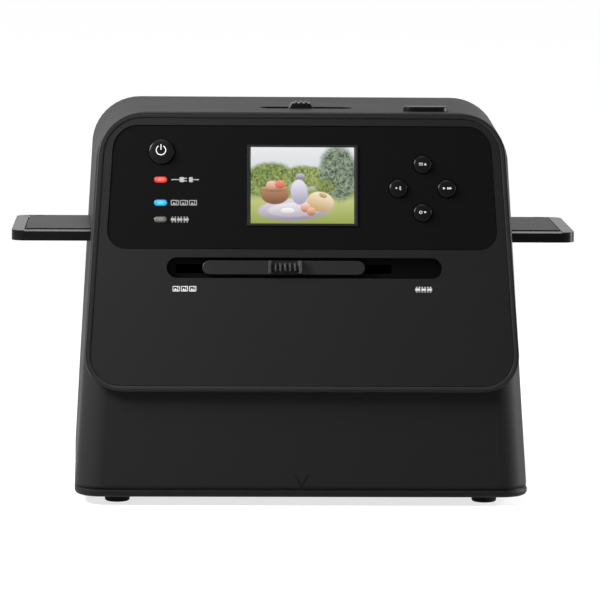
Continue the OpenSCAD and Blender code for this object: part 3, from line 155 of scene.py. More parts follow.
def roundedPlate(name, corners, radii, low, high, steps=8):
    # a plate between two heights whose four corners are rounded, alike or one by one
    piece = newPiece(name, bpy.ops.mesh.primitive_plane_add, size=1)
    radii = radii if isinstance(radii, list) else [radii] * 4
    for spot, corner in zip((0, 1, 3, 2), corners):  # the plane's own vertex order, going round
        piece.data.vertices[spot].co = (corner[0] * mm, corner[1] * mm, low * mm)
    for n, radius in enumerate(radii):
        if radius <= 0:
            continue
        here = Vector(corners[n])
        back = (Vector(corners[n - 1]) - here).normalized()
        ahead = (Vector(corners[(n + 1) % 4]) - here).normalized()
        reach = radius / math.tan(back.angle(ahead) / 2)
        target = Vector((here.x * mm, here.y * mm, low * mm))
        pickOut(piece, "VERT", lambda co: (co - target).length < near * mm)
        bpy.ops.mesh.bevel(offset=reach * mm, offset_type="OFFSET", segments=steps, profile=0.5,
                           affect="VERTICES", clamp_overlap=False)
    pickOut(piece, "FACE", everything)
    pull(high - low)
    return fixNormals(piece)


def boxCorners(length, width, x=0.0, y=0.0):
    return [(x - length / 2, y - width / 2), (x + length / 2, y - width / 2),
            (x + length / 2, y + width / 2), (x - length / 2, y + width / 2)]


def capsulePlate(name, length, width, x, y, low, high, steps=10):
    piece = roundedPlate(name, boxCorners(length, width, x, y), width * roundShare, low, high, steps)
    pickOut(piece, "VERT", everything)
    bpy.ops.mesh.remove_doubles(threshold=width * weldShare * mm)
    doneEditing()
    return piece


def roundRim(piece, height, width, segments, clamp=False):
    # rounds the edge loops that lie at one height
    pickOut(piece, "EDGE", lambda *ends: all(abs(end.z - height * mm) < 2 * near * mm for end in ends))
    bpy.ops.mesh.bevel(offset=width * mm, segments=segments, affect="EDGES", profile=0.5, clamp_overlap=clamp)
    doneEditing()
    return piece


def roundPlug(name, radius, x, y, low, high, facets=48):
    return newPiece(name, bpy.ops.mesh.primitive_cylinder_add, vertices=facets, radius=radius * mm,
                    depth=(high - low) * mm, location=(x * mm, y * mm, (low + high) / 2 * mm))


def roundPlugs(spots, radius, low, high, facets=48):
    return [roundPlug("cutter", radius, x, y, low, high, facets) for x, y in spots]


def crossRod(name, radius, length, x, y, z, facets):
    return newPiece(name, bpy.ops.mesh.primitive_cylinder_add, vertices=facets, radius=radius * mm,
                    depth=length * mm, location=(x * mm, y * mm, z * mm), rotation=(0, math.radians(90), 0))


def block(name, low, high):
    piece = newPiece(name, bpy.ops.mesh.primitive_cube_add, size=1)
    middle = Matrix.Translation([(a + b) / 2 * mm for a, b in zip(low, high)])
    piece.data.transform(middle @ Matrix.Diagonal([(b - a) * mm for a, b in zip(low, high)] + [1]))
    return piece


def centredBlock(name, length, width, x, y, low, high):
    return block(name, (x - length / 2, y - width / 2, low), (x + length / 2, y + width / 2, high))


def fourSpots(x, y, middle=0.0):
    return [(sideX * x, middle + sideY * y) for sideX in sides for sideY in sides]


def modify(piece, kind, **settings):
    change = piece.modifiers.new("change", kind)
    for key, value in settings.items():
        setattr(change, key, value)
    wholePiece(piece)
    bpy.ops.object.modifier_apply(modifier=change.name)
    return piece


def combine(piece, others, how="DIFFERENCE"):
    for other in others:
        modify(piece, "BOOLEAN", operation=how, solver="EXACT", object=other)
        bpy.data.objects.remove(other)
    return piece


def joinAll(name, pieces):
    wholePiece(pieces[0])
    for other in pieces[1:]:
        other.select_set(True)
    if len(pieces) > 1:
        bpy.ops.object.join()
    return rename(pieces[0], name)


def copies(piece, offsets):
    made = []
    for offset in offsets:
        double = piece.copy()
        double.data = piece.data.copy()
        double.data.transform(Matrix.Translation(Vector(offset) * mm))
        bpy.context.scene.collection.objects.link(double)
        made.append(double)
    return made


def inRow(first, count, pitch):
    return [first] + copies(first, [(n * pitch, 0, 0) for n in range(1, count)])


def softEdges(piece, width, segments=2, angle=32):
    return modify(piece, "BEVEL", width=width * mm, segments=segments, limit_method="ANGLE",
                  angle_limit=math.radians(angle), use_clamp_overlap=True)


def smooth(piece, angle=35):
    wholePiece(piece)
    bpy.ops.object.shade_smooth_by_angle(angle=math.radians(angle))
    return piece


def evenShading(piece, angle=35):
    return modify(smooth(piece, angle), "WEIGHTED_NORMAL", keep_sharp=True)


def dress(piece, look):
    piece.data.materials.clear()
    piece.data.materials.append(finish[look])
    for polygon in piece.data.polygons:
        polygon.material_index = 0


def place(piece, body, look, slotName, *replaced):
    dress(piece, look)
    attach(piece, body)
    if replaced:
        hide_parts(*replaced)


# the leaning front face: pieces are drawn flat, x across and y up it, then leant back
face = {"lean": 13.0, "forward": 51.5, "height": 149.2, "slant": 3.5,
        "half": 97.3, "top": 34.5, "bottom": 97.9, "topRadius": 21.0, "bottomRadius": 17.0}


def standUp(piece, lean, y, z, turn=0.0):
    piece.rotation_euler = (math.radians(90) - lean, 0, math.radians(turn))
    piece.location = (0, y * mm, z * mm)
    wholePiece(piece)
    bpy.ops.object.transform_apply(location=True, rotation=True)
    return piece


def leanBack(piece):
    return standUp(piece, math.radians(face["lean"]), -face["forward"], face["height"])


def slantedCorners(half, top, bottom, inset):
    lean = math.tan(math.radians(face["slant"]))
    half -= inset / math.cos(math.radians(face["slant"]))
    top -= inset
    bottom -= inset
    return [(-half - bottom * lean, -bottom), (half + bottom * lean, -bottom),
            (half - top * lean, top), (-half + top * lean, top)]


def facePlate(name, inset, low, high, steps=8):
    radii = [face["bottomRadius"] - inset] * 2 + [face["topRadius"] - inset] * 2
    return roundedPlate(name, slantedCorners(face["half"], face["top"], face["bottom"], inset), radii, low,
                        high, steps)


# finishes: every pattern reads object coordinates
texture = {"cloudDetail": 4.0, "cloudRough": 0.55, "grainDetail": 3.0, "grainRough": 0.6, "grainShare": 0.6,
           "poreScale": 0.6, "strokeShade": 0.8, "strokeDeep": 0.02, "metalSpread": 0.3, "trackShade": 0.86,
           "frostScale": 1400.0, "frostShare": 0.25, "hazeScale": 300.0, "speckScale": 2.3}


def nodeAdder(tree):
    def add(kind, *ordered, **values):
        # a value is a setting of the node, a number or colour for an input, or a node or output to link to it
        node = tree.nodes.new("ShaderNode" + kind) if isinstance(kind, str) else kind
        names = {socket.name.replace(" ", "").lower() for socket in node.inputs}
        for key, value in values.items():
            if key.lower() not in names:
                setattr(node, key, value)
        named = {socket.name.replace(" ", "").lower(): socket for socket in node.inputs if socket.enabled}
        pairs = list(zip(node.inputs, ordered))
        pairs += [(named[key.lower()], value) for key, value in values.items() if key.lower() in names]
        for socket, value in pairs:
            if isinstance(value, bpy.types.Node):
                value = next(output for output in value.outputs if output.enabled)
            if isinstance(value, bpy.types.NodeSocket):
                tree.links.new(value, socket)
            else:
                socket.default_value = (*value, 1) if socket.type == "RGBA" else value
        return node
    return add


def newFinish(name):
    material = bpy.data.materials.new(name)
    material.use_nodes = True
    add = nodeAdder(material.node_tree)
    return material, add, material.node_tree.nodes["Principled BSDF"], add("TexCoord").outputs["Object"]


def blend(add, factor, dark, pale):
    return add("Mix", data_type="RGBA", factor=factor, a=dark, b=pale)


def times(colour, share):
    return [min(1, part * share) for part in colour]


def onFace(add, spot, unit=1.0):
    # a place measured across, up and out of the leaning face
    return add("Mapping", vector_type="TEXTURE", vector=spot,
               location=(0, -face["forward"] * mm, face["height"] * mm),
               rotation=(math.radians(90 - face["lean"]), 0, 0), scale=(unit, unit, unit))


def ellipse(add, spot, x, y, wide, tall, turn=0.0):
    # the place inside an ellipse, and how far out it is: 1 on the edge
    centre = add("Mapping", vector_type="TEXTURE", vector=spot, location=(x, y, 0),
                 rotation=(0, 0, math.radians(turn)), scale=(wide, tall, 1))
    flat = add("VectorMath", centre, (1, 1, 0), operation="MULTIPLY")
    return flat, add("VectorMath", flat, operation="LENGTH")


def colourRamp(add, along, stops):
    ramp = add("ValToRGB", fac=along)
    elements = ramp.color_ramp.elements
    for element, (at, colour) in zip(elements, (stops[0], stops[-1])):
        element.position, element.color = at, (*colour, 1)
    for at, colour in stops[1:-1]:
        elements.new(at).color = (*colour, 1)
    return ramp


def plasticFinish(name, colour, mottle, roughness, spread, shine, cloudy, grainy, bump, bumpDeep):
    material, add, shader, spot = newFinish(name)
    cloud = add("TexNoise", vector=spot, scale=cloudy, detail=texture["cloudDetail"],
                roughness=texture["cloudRough"])
    grain = add("TexNoise", vector=spot, scale=grainy, detail=texture["grainDetail"],
                roughness=texture["grainRough"])
    pores = add("TexVoronoi", vector=spot, scale=grainy * texture["poreScale"])
    share = add("Math", cloud, 1 - texture["grainShare"], operation="MULTIPLY")
    share = add("Math", grain, texture["grainShare"], share, operation="MULTIPLY_ADD")
    tone = blend(add, share, times(colour, 1 - mottle), times(colour, 1 + mottle))
    if name in paintedHollowShade:  # painted shade: the face's hollows are coloured darker the deeper they lie
        depth = add("SeparateXYZ", vector=onFace(add, spot)).outputs["Z"]
        start, end, deep = paintedHollowShade[name]
        tone = blend(add, add("MapRange", value=depth, fromMin=start * mm, fromMax=end * mm), tone, deep)
    rough = add("MapRange", value=cloud, toMin=roughness - spread, toMax=roughness + spread)
    height = add("Math", grain, pores, operation="ADD")
    add(shader, baseColor=tone, roughness=rough, specularIORLevel=shine,
        normal=add("Bump", height=height, strength=bump, distance=bumpDeep * mm))
    return material


def metalFinish(name, colour, roughness, strokes, smears, stretch, bump):
    material, add, shader, spot = newFinish(name)
    brushed = add("Mapping", vector=spot, scale=(stretch, 1, 1))
    stroke = add("TexNoise", vector=brushed, scale=strokes, detail=5.0, roughness=0.65)
    smear = add("TexNoise", vector=spot, scale=smears, detail=3.0)
    add(shader, metallic=1.0, baseColor=blend(add, stroke, times(colour, texture["strokeShade"]), colour),
        roughness=add("MapRange", value=smear, toMin=roughness * (1 - texture["metalSpread"]),
                      toMax=roughness * (1 + texture["metalSpread"])),
        normal=add("Bump", height=stroke, strength=bump, distance=texture["strokeDeep"] * mm))
    return material


def boardFinish(name, look):
    # solder mask with copper tracks showing through it and bright pads
    material, add, shader, spot = newFinish(name)
    tracks = add("TexBrick", vector=spot, scale=look["tracks"], color1=look["colour"],
                 color2=times(look["colour"], texture["trackShade"]), mortar=look["copper"],
                 mortarSize=look["trackWide"])
    pads = add("TexVoronoi", vector=spot, scale=look["pads"])
    dot = add("MapRange", value=pads, fromMin=look["padEdge"], fromMax=look["padCore"])
    add(shader, baseColor=blend(add, dot, tracks, look["pad"]), specularIORLevel=look["shine"],
        roughness=look["rough"], normal=add("Bump", height=tracks.outputs["Fac"], strength=look["bump"],
                                            distance=look["bumpDeep"] * mm))
    return material


def lightFinish(name, look):
    # a coloured light pipe: a pale core in a deeper rim, measured from its centre on the face
    material, add, shader, spot = newFinish(name)
    flat, away = ellipse(add, onFace(add, spot), look["x"] * mm, look["v"] * mm, look["length"] / 2 * mm,
                         look["height"] / 2 * mm)
    frost = add("TexNoise", vector=spot, scale=texture["frostScale"], detail=2.0)
    out = add("Math", frost, texture["frostShare"], away, operation="MULTIPLY_ADD")
    glare = colourRamp(add, out, [(0.35, look["core"]), (1.0, look["rim"])])
    if look["glow"] > 0:
        add(shader, baseColor=(0.02, 0.02, 0.02), emissionStrength=look["glow"], emissionColor=glare)
    else:
        add(shader, baseColor=glare)
    add(shader, roughness=look["rough"], specularIORLevel=look["shine"],
        normal=add("Bump", height=frost, strength=look["bump"], distance=look["bumpDeep"] * mm))
    return material


def glassFinish(name, look):
    # coated glass: a clear body with a coloured sheen from its coating
    material, add, shader, spot = newFinish(name)
    haze = add("TexNoise", vector=spot, scale=texture["hazeScale"], detail=2.0)
    add(shader, baseColor=blend(add, haze, look["dark"], look["pale"]), roughness=look["rough"],
        coatWeight=look["coat"], coatRoughness=look["coatRough"], coatTint=look["tint"],
        transmissionWeight=look["clear"])
    return material


def pictureFinish(name, look):
    # the lit screen: a still life on a lawn with trees behind, built from soft ellipses
    material, add, shader, spot = newFinish(name)
    lie = onFace(add, spot, mm)
    leaves = add("TexNoise", vector=lie, scale=look["leafScale"], detail=6.0, roughness=0.7)
    wobble = add("VectorMath", leaves.outputs["Color"], (look["wobble"],) * 3, lie, operation="MULTIPLY_ADD")
    speck = add("TexNoise", vector=lie, scale=look["leafScale"] * texture["speckScale"], detail=5.0,
                roughness=0.75)
    rise = add("MapRange", value=add("SeparateXYZ", vector=lie).outputs["Y"], fromMin=-look["half"],
               fromMax=look["half"])
    current = colourRamp(add, rise, look["bands"])
    for x, y, wide, tall, turn, edge, leafy, dark, pale in look["shapes"]:
        flat, away = ellipse(add, wobble if leafy else lie, x, y, wide, tall, turn)
        mask = add("MapRange", interpolation_type="SMOOTHSTEP", value=away, fromMin=1.0 + edge,
                   fromMax=1.0 - edge)
        light = speck if leafy else add("SeparateXYZ", vector=flat).outputs["Y"]
        start, end = look["leafLight"] if leafy else look["roundLight"]
        inside = blend(add, add("MapRange", value=light, fromMin=start, fromMax=end), dark, pale)
        current = blend(add, mask, current, inside)
    pixels = add("TexBrick", vector=lie, scale=look["pixels"])
    add(shader, baseColor=look["sheet"], roughness=look["rough"], specularIORLevel=look["shine"],
        emissionStrength=look["glow"], emissionColor=current,
        normal=add("Bump", height=pixels.outputs["Fac"], strength=look["bump"],
                   distance=look["bumpDeep"] * mm))
    return material


plastics = {
    # colour, mottle, roughness, its spread, shine, cloud scale, grain scale, bump, its depth
    "shellPlastic": ((0.016, 0.0162, 0.0166), 0.1, 0.54, 0.05, 0.055, 26.0, 2600.0, 0.1, 0.05),
    "panelPlastic": ((0.0195, 0.0197, 0.0202), 0.08, 0.46, 0.04, 0.03, 22.0, 2900.0, 0.07, 0.04),
    "rimPlastic": ((0.022, 0.0222, 0.0228), 0.08, 0.42, 0.04, 0.08, 24.0, 2700.0, 0.08, 0.04),
    "basePlastic": ((0.011, 0.011, 0.0115), 0.12, 0.52, 0.05, 0.1, 30.0, 2400.0, 0.12, 0.05),
    "glossSheet": ((0.006, 0.006, 0.0062), 0.06, 0.2, 0.02, 0.03, 40.0, 900.0, 0.01, 0.01),
    "keyPlastic": ((0.004, 0.004, 0.0042), 0.08, 0.26, 0.03, 0.075, 60.0, 2600.0, 0.03, 0.02),
    "powerKeyPlastic": ((0.0062, 0.0062, 0.0064), 0.08, 0.26, 0.04, 0.09, 60.0, 2600.0, 0.04, 0.02),
    "bezelPlastic": ((0.015, 0.0154, 0.0165), 0.08, 0.34, 0.04, 0.16, 40.0, 2200.0, 0.05, 0.02),
    "sliderPlastic": ((0.017, 0.0171, 0.0175), 0.1, 0.34, 0.05, 0.13, 50.0, 2600.0, 0.08, 0.04),
    # far darker than the shell: painted shade on the lens recess walls
    "recessShadePaint": ((0.0035, 0.0035, 0.0036), 0.1, 0.62, 0.04, 0.02, 40.0, 2400.0, 0.06, 0.03),
    # paler than the slider bar: the extra paleness is a painted highlight on the knob's ribs; its shine is
    # real
    "knobPlasticPaintedHighlight": ((0.04, 0.04, 0.0405), 0.1, 0.28, 0.05, 0.34, 50.0, 2600.0, 0.06, 0.03),
    "trayPlastic": ((0.006, 0.006, 0.0063), 0.1, 0.25, 0.04, 0.055, 34.0, 2500.0, 0.05, 0.03),
    "lidPlastic": ((0.0075, 0.0075, 0.0078), 0.1, 0.42, 0.04, 0.05, 30.0, 2500.0, 0.08, 0.04),
    "topKeyPlastic": ((0.004, 0.004, 0.0042), 0.1, 0.3, 0.04, 0.06, 60.0, 2600.0, 0.04, 0.03),
    "innerPlastic": ((0.006, 0.006, 0.006), 0.14, 0.62, 0.06, 0.02, 30.0, 1800.0, 0.16, 0.06),
    "footRubber": ((0.012, 0.012, 0.012), 0.16, 0.82, 0.08, 0.16, 60.0, 1500.0, 0.25, 0.08),
    "sealFelt": ((0.012, 0.012, 0.012), 0.35, 0.95, 0.04, 0.05, 200.0, 1200.0, 0.8, 0.25),
    "opalDiffuser": ((0.86, 0.86, 0.85), 0.03, 0.55, 0.05, 0.4, 60.0, 1400.0, 0.08, 0.04),
    "whiteBoard": ((0.8, 0.8, 0.76), 0.06, 0.42, 0.05, 0.5, 90.0, 900.0, 0.08, 0.04),
    "flatCable": ((0.1, 0.055, 0.015), 0.05, 0.38, 0.05, 0.5, 90.0, 700.0, 0.06, 0.03),
    "markInk": ((0.42, 0.42, 0.42), 0.04, 0.5, 0.04, 0.3, 120.0, 2600.0, 0.03, 0.01),
    "markWhite": ((0.9, 0.9, 0.9), 0.03, 0.5, 0.04, 0.3, 120.0, 2600.0, 0.03, 0.01),
}
paintedHollowShade = {"panelPlastic": (-0.3, -1.3, (0.003, 0.003, 0.0032))}  # painted shade in the panel's hollows: first and full depth, colour there
metals = {
    # colour, roughness, stroke scale, smear scale, stretch of the strokes, bump
    "screwSteel": ((0.42, 0.42, 0.44), 0.3, 600.0, 90.0, 1, 0.1),
    "rodSteel": ((0.62, 0.62, 0.64), 0.16, 900.0, 60.0, 0.04, 0.06),
    "canSteel": ((0.58, 0.58, 0.6), 0.28, 500.0, 70.0, 0.08, 0.08),
    "springSteel": ((0.55, 0.52, 0.44), 0.24, 700.0, 80.0, 0.05, 0.08),
    "bracketAluminium": ((0.62, 0.62, 0.64), 0.38, 420.0, 50.0, 0.1, 0.12),
}
lights = {
    "redLight": {"x": -67.0, "v": 2.5, "core": (1.0, 0.20, 0.15), "rim": (0.62, 0.02, 0.012), "glow": 1.15},
    "blueLight": {"x": -67.0, "v": -8.5, "core": (0.10, 0.70, 1.0), "rim": (0.0, 0.34, 0.66), "glow": 1.15},
    "greyLight": {"x": -67.0, "v": -16.5, "core": (0.20, 0.20, 0.20), "rim": (0.09, 0.09, 0.09), "glow": 0.0},
}
for look in lights.values():
    look.update(length=6.1, height=2.8, rough=0.2, shine=0.3, bump=0.1, bumpDeep=0.05)
board = {"colour": (0.012, 0.10, 0.045), "copper": (0.03, 0.19, 0.07), "pad": (0.62, 0.55, 0.36),
         "rough": 0.32, "shine": 0.5, "bump": 0.4, "bumpDeep": 0.04, "tracks": 180.0, "trackWide": 0.04,
         "pads": 260.0, "padEdge": 0.16, "padCore": 0.13}
lensLook = {"tint": (0.6, 0.5, 0.9), "dark": (0.70, 0.76, 0.84), "pale": (0.80, 0.86, 0.92), "coat": 0.6,
            "rough": 0.04, "coatRough": 0.03, "clear": 0.7}
hedgeDark, hedgePale = (0.035, 0.07, 0.02), (0.36, 0.45, 0.12)
screenPicture = {
    "half": 18.4, "leafScale": 0.34, "wobble": 2.2, "pixels": 4.0, "glow": 1.0,
    "sheet": (0.01, 0.01, 0.012), "rough": 0.18, "shine": 0.12, "bump": 0.05, "bumpDeep": 0.01,
    "leafLight": (0.38, 0.62), "roundLight": (-0.8, 0.9),
    "bands": [(0.0, (0.30, 0.36, 0.07)), (0.30, (0.50, 0.55, 0.20)), (0.42, (0.24, 0.32, 0.08)),
              (0.5, (0.62, 0.66, 0.62)), (1.0, (0.80, 0.81, 0.84))],
    # x, y, half width, half height, turn, soft edge, leafy, darker colour, paler colour
    "shapes": [
        (-15.0, 4.0, 12.0, 8.0, 8, 0.16, True, hedgeDark, hedgePale),
        (3.0, 5.5, 10.0, 5.0, -6, 0.16, True, (0.05, 0.10, 0.02), (0.44, 0.50, 0.16)),
        (18.0, 7.0, 9.0, 13.0, 4, 0.18, True, (0.02, 0.04, 0.015), (0.34, 0.42, 0.30)),
        (12.0, 0.5, 5.0, 3.0, 0, 0.2, True, (0.06, 0.09, 0.02), (0.30, 0.36, 0.10)),
        (-3.5, -11.5, 17.5, 5.4, 3, 0.06, False, (0.34, 0.30, 0.38), (0.72, 0.68, 0.74)),
        (-3.5, -11.5, 13.0, 3.4, 3, 0.10, False, (0.50, 0.46, 0.52), (0.84, 0.80, 0.84)),
        (-13.0, -4.4, 6.6, 4.6, 0, 0.07, False, (0.22, 0.09, 0.04), (0.52, 0.28, 0.14)),
        (-13.0, -1.6, 6.8, 1.5, 0, 0.10, False, (0.30, 0.14, 0.07), (0.66, 0.40, 0.22)),
        (-14.5, 0.2, 2.6, 2.0, 0, 0.10, False, (0.62, 0.30, 0.20), (0.92, 0.62, 0.48)),
        (-10.6, 0.5, 2.4, 2.0, 0, 0.10, False, (0.60, 0.10, 0.06), (0.86, 0.34, 0.22)),
        (-1.5, -3.2, 4.0, 6.0, 4, 0.07, False, (0.40, 0.36, 0.50), (0.80, 0.77, 0.86)),
        (-1.0, 4.4, 2.2, 1.4, 0, 0.10, False, (0.24, 0.20, 0.30), (0.60, 0.56, 0.66)),
        (8.6, -7.8, 6.4, 4.8, -12, 0.07, False, (0.56, 0.36, 0.16), (0.92, 0.80, 0.56)),
        (9.8, -4.6, 2.0, 1.2, -20, 0.15, False, (0.40, 0.22, 0.09), (0.80, 0.60, 0.34)),
        (1.5, -10.6, 2.4, 2.2, 0, 0.08, False, (0.55, 0.16, 0.10), (0.95, 0.66, 0.50)),
        (4.2, -12.4, 2.2, 2.0, 0, 0.08, False, (0.42, 0.18, 0.06), (0.90, 0.56, 0.36)),
        (-7.0, -12.0, 3.4, 1.3, 0, 0.10, False, (0.70, 0.68, 0.70), (0.95, 0.94, 0.95)),
    ],
}
finish = {name: plasticFinish(name, *look) for name, look in plastics.items()}
finish.update({name: metalFinish(name, *look) for name, look in metals.items()})
finish.update({name: lightFinish(name, look) for name, look in lights.items()})
finish["greenBoard"] = boardFinish("greenBoard", board)
finish["lensGlass"] = glassFinish("lensGlass", lensLook)
finish["screenPicture"] = pictureFinish("screenPicture", screenPicture)
print("finishes made:", len(finish))


casing = {
    "wall": 2.4, "low": 7.9, "kink": 53.1, "top": 183.0, "arcRadius": 24.0, "arcHeight": 159.0,
    "frontHalf": 106.9, "frontFall": 0.0615, "rearHalf": 109.9, "rearFall": 0.0549,
    "frontLow": 77.5, "frontKink": 70.6, "frontTop": 42.2, "rearLow": 77.5, "rearTop": 68.5,
    "frontCorner": 13.0, "rearCorner": 16.0, "frontCornerTop": 1.3, "rearCornerTop": 2.6,
    "cornerSteps": 7, "lowerRounding": [(0.0, 1.25), (0.12, 0.75), (0.45, 0.34), (1.1, 0.08), (2.0, 0.0)],
    "heights": [30.0, 51.2, 55.0, 75.0, 95.0, 115.0, 135.0, 159.0], "arcSteps": 12,
}
c = casing


def between(height, low, high, start, end):
    # the value at a height that runs evenly from start to end
    return start + (end - start) * (height - low) / (high - low)


def frontEdge(height):
    if height < c["kink"]:
        return -between(height, c["low"], c["kink"], c["frontLow"], c["frontKink"])
    return -between(height, c["kink"], c["top"], c["frontKink"], c["frontTop"])


def rearEdge(height):
    return between(height, c["low"], c["top"], c["rearLow"], c["rearTop"])


def casingRing(height, turn=0.0, inset=0.0):
    # one closed row of points round the casing; above the arc's start the rows fan over the top
    points = []
    level = min(c["arcHeight"], max(c["kink"], height))
    for side in sides:
        column = []
        for end in ("front", "rear"):
            radius = between(level, c["kink"], c["arcHeight"], c[end + "Corner"], c[end + "CornerTop"])
            middle = c[end + "Half"] - c[end + "Fall"] * (height - c["low"]) - inset - c["arcRadius"]
            for n in range(c["cornerSteps"] + 1):
                angle = math.radians(90 * n / c["cornerSteps"])
                if end == "rear":
                    angle = math.radians(90) - angle
                reach = c["arcRadius"] - radius + radius * math.sin(angle)
                z = height + reach * math.sin(turn)
                edge = radius * (1 - math.cos(angle)) + inset
                y = frontEdge(z) + edge if end == "front" else rearEdge(z) - edge
                column.append(Vector((-side * (middle + reach * math.cos(turn)) * mm, y * mm, z * mm)))
        points += column if side < 0 else column[::-1]
    return points


def pullTo(piece, before, after):
    # after an extrude, slides each new point from its old place in the row to the new row
    shape = bmesh.from_edit_mesh(piece.data)
    for vert in shape.verts:
        if vert.select:
            n = min(range(len(before)), key=lambda k: (before[k] - vert.co).length_squared)
            vert.co = after[n]
    bmesh.update_edit_mesh(piece.data)


def ringStack(name, rings):
    piece = newPiece(name, bpy.ops.mesh.primitive_circle_add, vertices=len(rings[0]), fill_type="NOTHING")
    for vert, point in zip(piece.data.vertices, rings[0]):
        vert.co = point
    pickOut(piece, "EDGE", everything)
    for before, after in zip(rings, rings[1:]):
        bpy.ops.mesh.extrude_edges_move(TRANSFORM_OT_translate={"value": (0, 0, 0)})
        pullTo(piece, before, after)
    doneEditing()
    return piece


casingRings = [casingRing(c["low"] + rise, 0, inset) for rise, inset in c["lowerRounding"]]
casingRings += [casingRing(height) for height in c["heights"]]
casingRings += [casingRing(c["arcHeight"], math.radians(90 * n / c["arcSteps"]))
                for n in range(1, c["arcSteps"] + 1)]
shell = ringStack("casing", casingRings)
topRow = casingRings[-1]
span = len(topRow)
for n in range(span // 2 - 1):  # the flat top: one strip between each pair of points and the pair opposite
    strip = [topRow[n], topRow[n + 1], topRow[span - 2 - n], topRow[span - 1 - n]]
    pickOut(shell, "VERT", lambda co: any((co - point).length < near * mm for point in strip))
    bpy.ops.mesh.edge_face_add()
fixNormals(shell)
modify(shell, "SOLIDIFY", thickness=c["wall"] * mm, offset=-1, use_even_offset=True)
print("casing drawn:", len(shell.data.vertices), "points")


def leanRear(piece):
    lean = math.atan((c["rearLow"] - c["rearTop"]) / (c["top"] - c["low"]))
    return standUp(piece, lean, c["rearLow"], c["low"], 180)


def leanLow(piece):
    lean = math.atan((c["frontLow"] - c["frontKink"]) / (c["kink"] - c["low"]))
    return standUp(piece, lean, -c["frontLow"], c["low"])


openings = {
    "trayLength": 280.0, "trayWidth": 77.2, "trayLow": 120.4, "trayHigh": 126.5, "trayRound": 1.0,
    "lensX": 2.8, "lensY": -10.0, "lensLength": 44.8, "lensWidth": 12.0, "lensDeep": 1.7,
    "lensSlotLength": 18.0, "lensSlotWidth": 3.0, "scanLength": 22.0, "scanWidth": 10.6,
    "through": 6.0, "faceInset": 1.0, "faceThrough": 14.0, "faceOver": 5.0, "coverOver": 3.0,
    "arrowOver": 1.0, "coverWidth": 176.0, "coverHeight": 140.0, "coverUp": 16.0, "coverRadius": 8.0,
    "coverDeep": 2.0, "coverLedge": 5.0, "ledgeRadius": 6.0, "arrowWidth": 8.0, "arrowHeight": 6.5,
    "arrowUp": 0.5, "arrowLine": 1.2, "arrowDeep": 0.22, "edge": 0.3,
}
scan = {"x": 59.3, "y": -28.0, "length": 21.4, "width": 10.0, "low": 179.02, "high": 185.3, "round": 0.8,
        "flangeLong": 23.4, "flangeHigh": 179.82, "stem": 1.5, "stemLow": 176.42, "sunk": 0.05,
        "dish": [(0.6, -0.072), (1.0, -0.108)]}
o = openings
coverMiddle = o["coverUp"] + o["coverHeight"] / 2


def coverPlate(name, inset, radius, low, high, steps=8):
    # a plate in the rear cover's outline, still lying flat
    corners = boxCorners(o["coverWidth"] - 2 * inset, o["coverHeight"] - 2 * inset, 0, coverMiddle)
    return roundedPlate(name, corners, radius, low, high, steps)


cuts = [
    softEdges(centredBlock("cutter", o["trayLength"], o["trayWidth"], 0, 0, o["trayLow"], o["trayHigh"]),
              o["trayRound"], segments=3),
    capsulePlate("cutter", o["lensLength"], o["lensWidth"], o["lensX"], o["lensY"], c["top"] - o["lensDeep"],
                 c["top"] + past),
    centredBlock("cutter", o["lensSlotLength"], o["lensSlotWidth"], o["lensX"], o["lensY"],
                 c["top"] - o["through"], c["top"] + past),
    capsulePlate("cutter", o["scanLength"], o["scanWidth"], scan["x"], scan["y"], c["top"] - o["through"],
                 c["top"] + past),
    leanBack(facePlate("cutter", o["faceInset"], -o["faceThrough"], o["faceOver"])),
    leanRear(coverPlate("cutter", 0, o["coverRadius"], -o["coverDeep"], o["coverOver"])),
    leanRear(coverPlate("cutter", o["coverLedge"], o["ledgeRadius"], -o["faceThrough"], o["coverOver"])),
]
for side in sides:
    tip = o["arrowUp"] + o["arrowHeight"]
    stroke = [(0, o["arrowUp"]), (side * o["arrowWidth"] / 2, tip),
              (side * (o["arrowWidth"] / 2 - o["arrowLine"]), tip), (0, o["arrowUp"] + o["arrowLine"] * 2)]
    cuts.append(leanLow(roundedPlate("cutter", stroke[::side], 0, -o["arrowDeep"], o["arrowOver"])))
combine(shell, cuts)
evenShading(softEdges(shell, o["edge"], segments=2, angle=40))
place(shell, "housing", "shellPlastic", "shell_black", "body_shell")
print("casing cut:", len(shell.data.polygons), "faces")

# a dark liner against the lens slider's recess walls: its dark colour is painted shade
liner = {"gap": 0.03, "wall": 0.3, "below": 0.2}


def lensOutline(name, inset, low, high):
    return capsulePlate(name, o["lensLength"] - 2 * inset, o["lensWidth"] - 2 * inset, o["lensX"], o["lensY"],
                        c["top"] + low, c["top"] + high, steps=12)


lensLiner = lensOutline("lensRecessShadeLiner", liner["gap"], liner["gap"] - o["lensDeep"], -liner["below"])
combine(lensLiner, [lensOutline("cutter", liner["wall"], -o["lensDeep"] - past, past)])
place(smooth(lensLiner, angle=50), "housing", "recessShadePaint", "panel_black")
print("recess liner done")


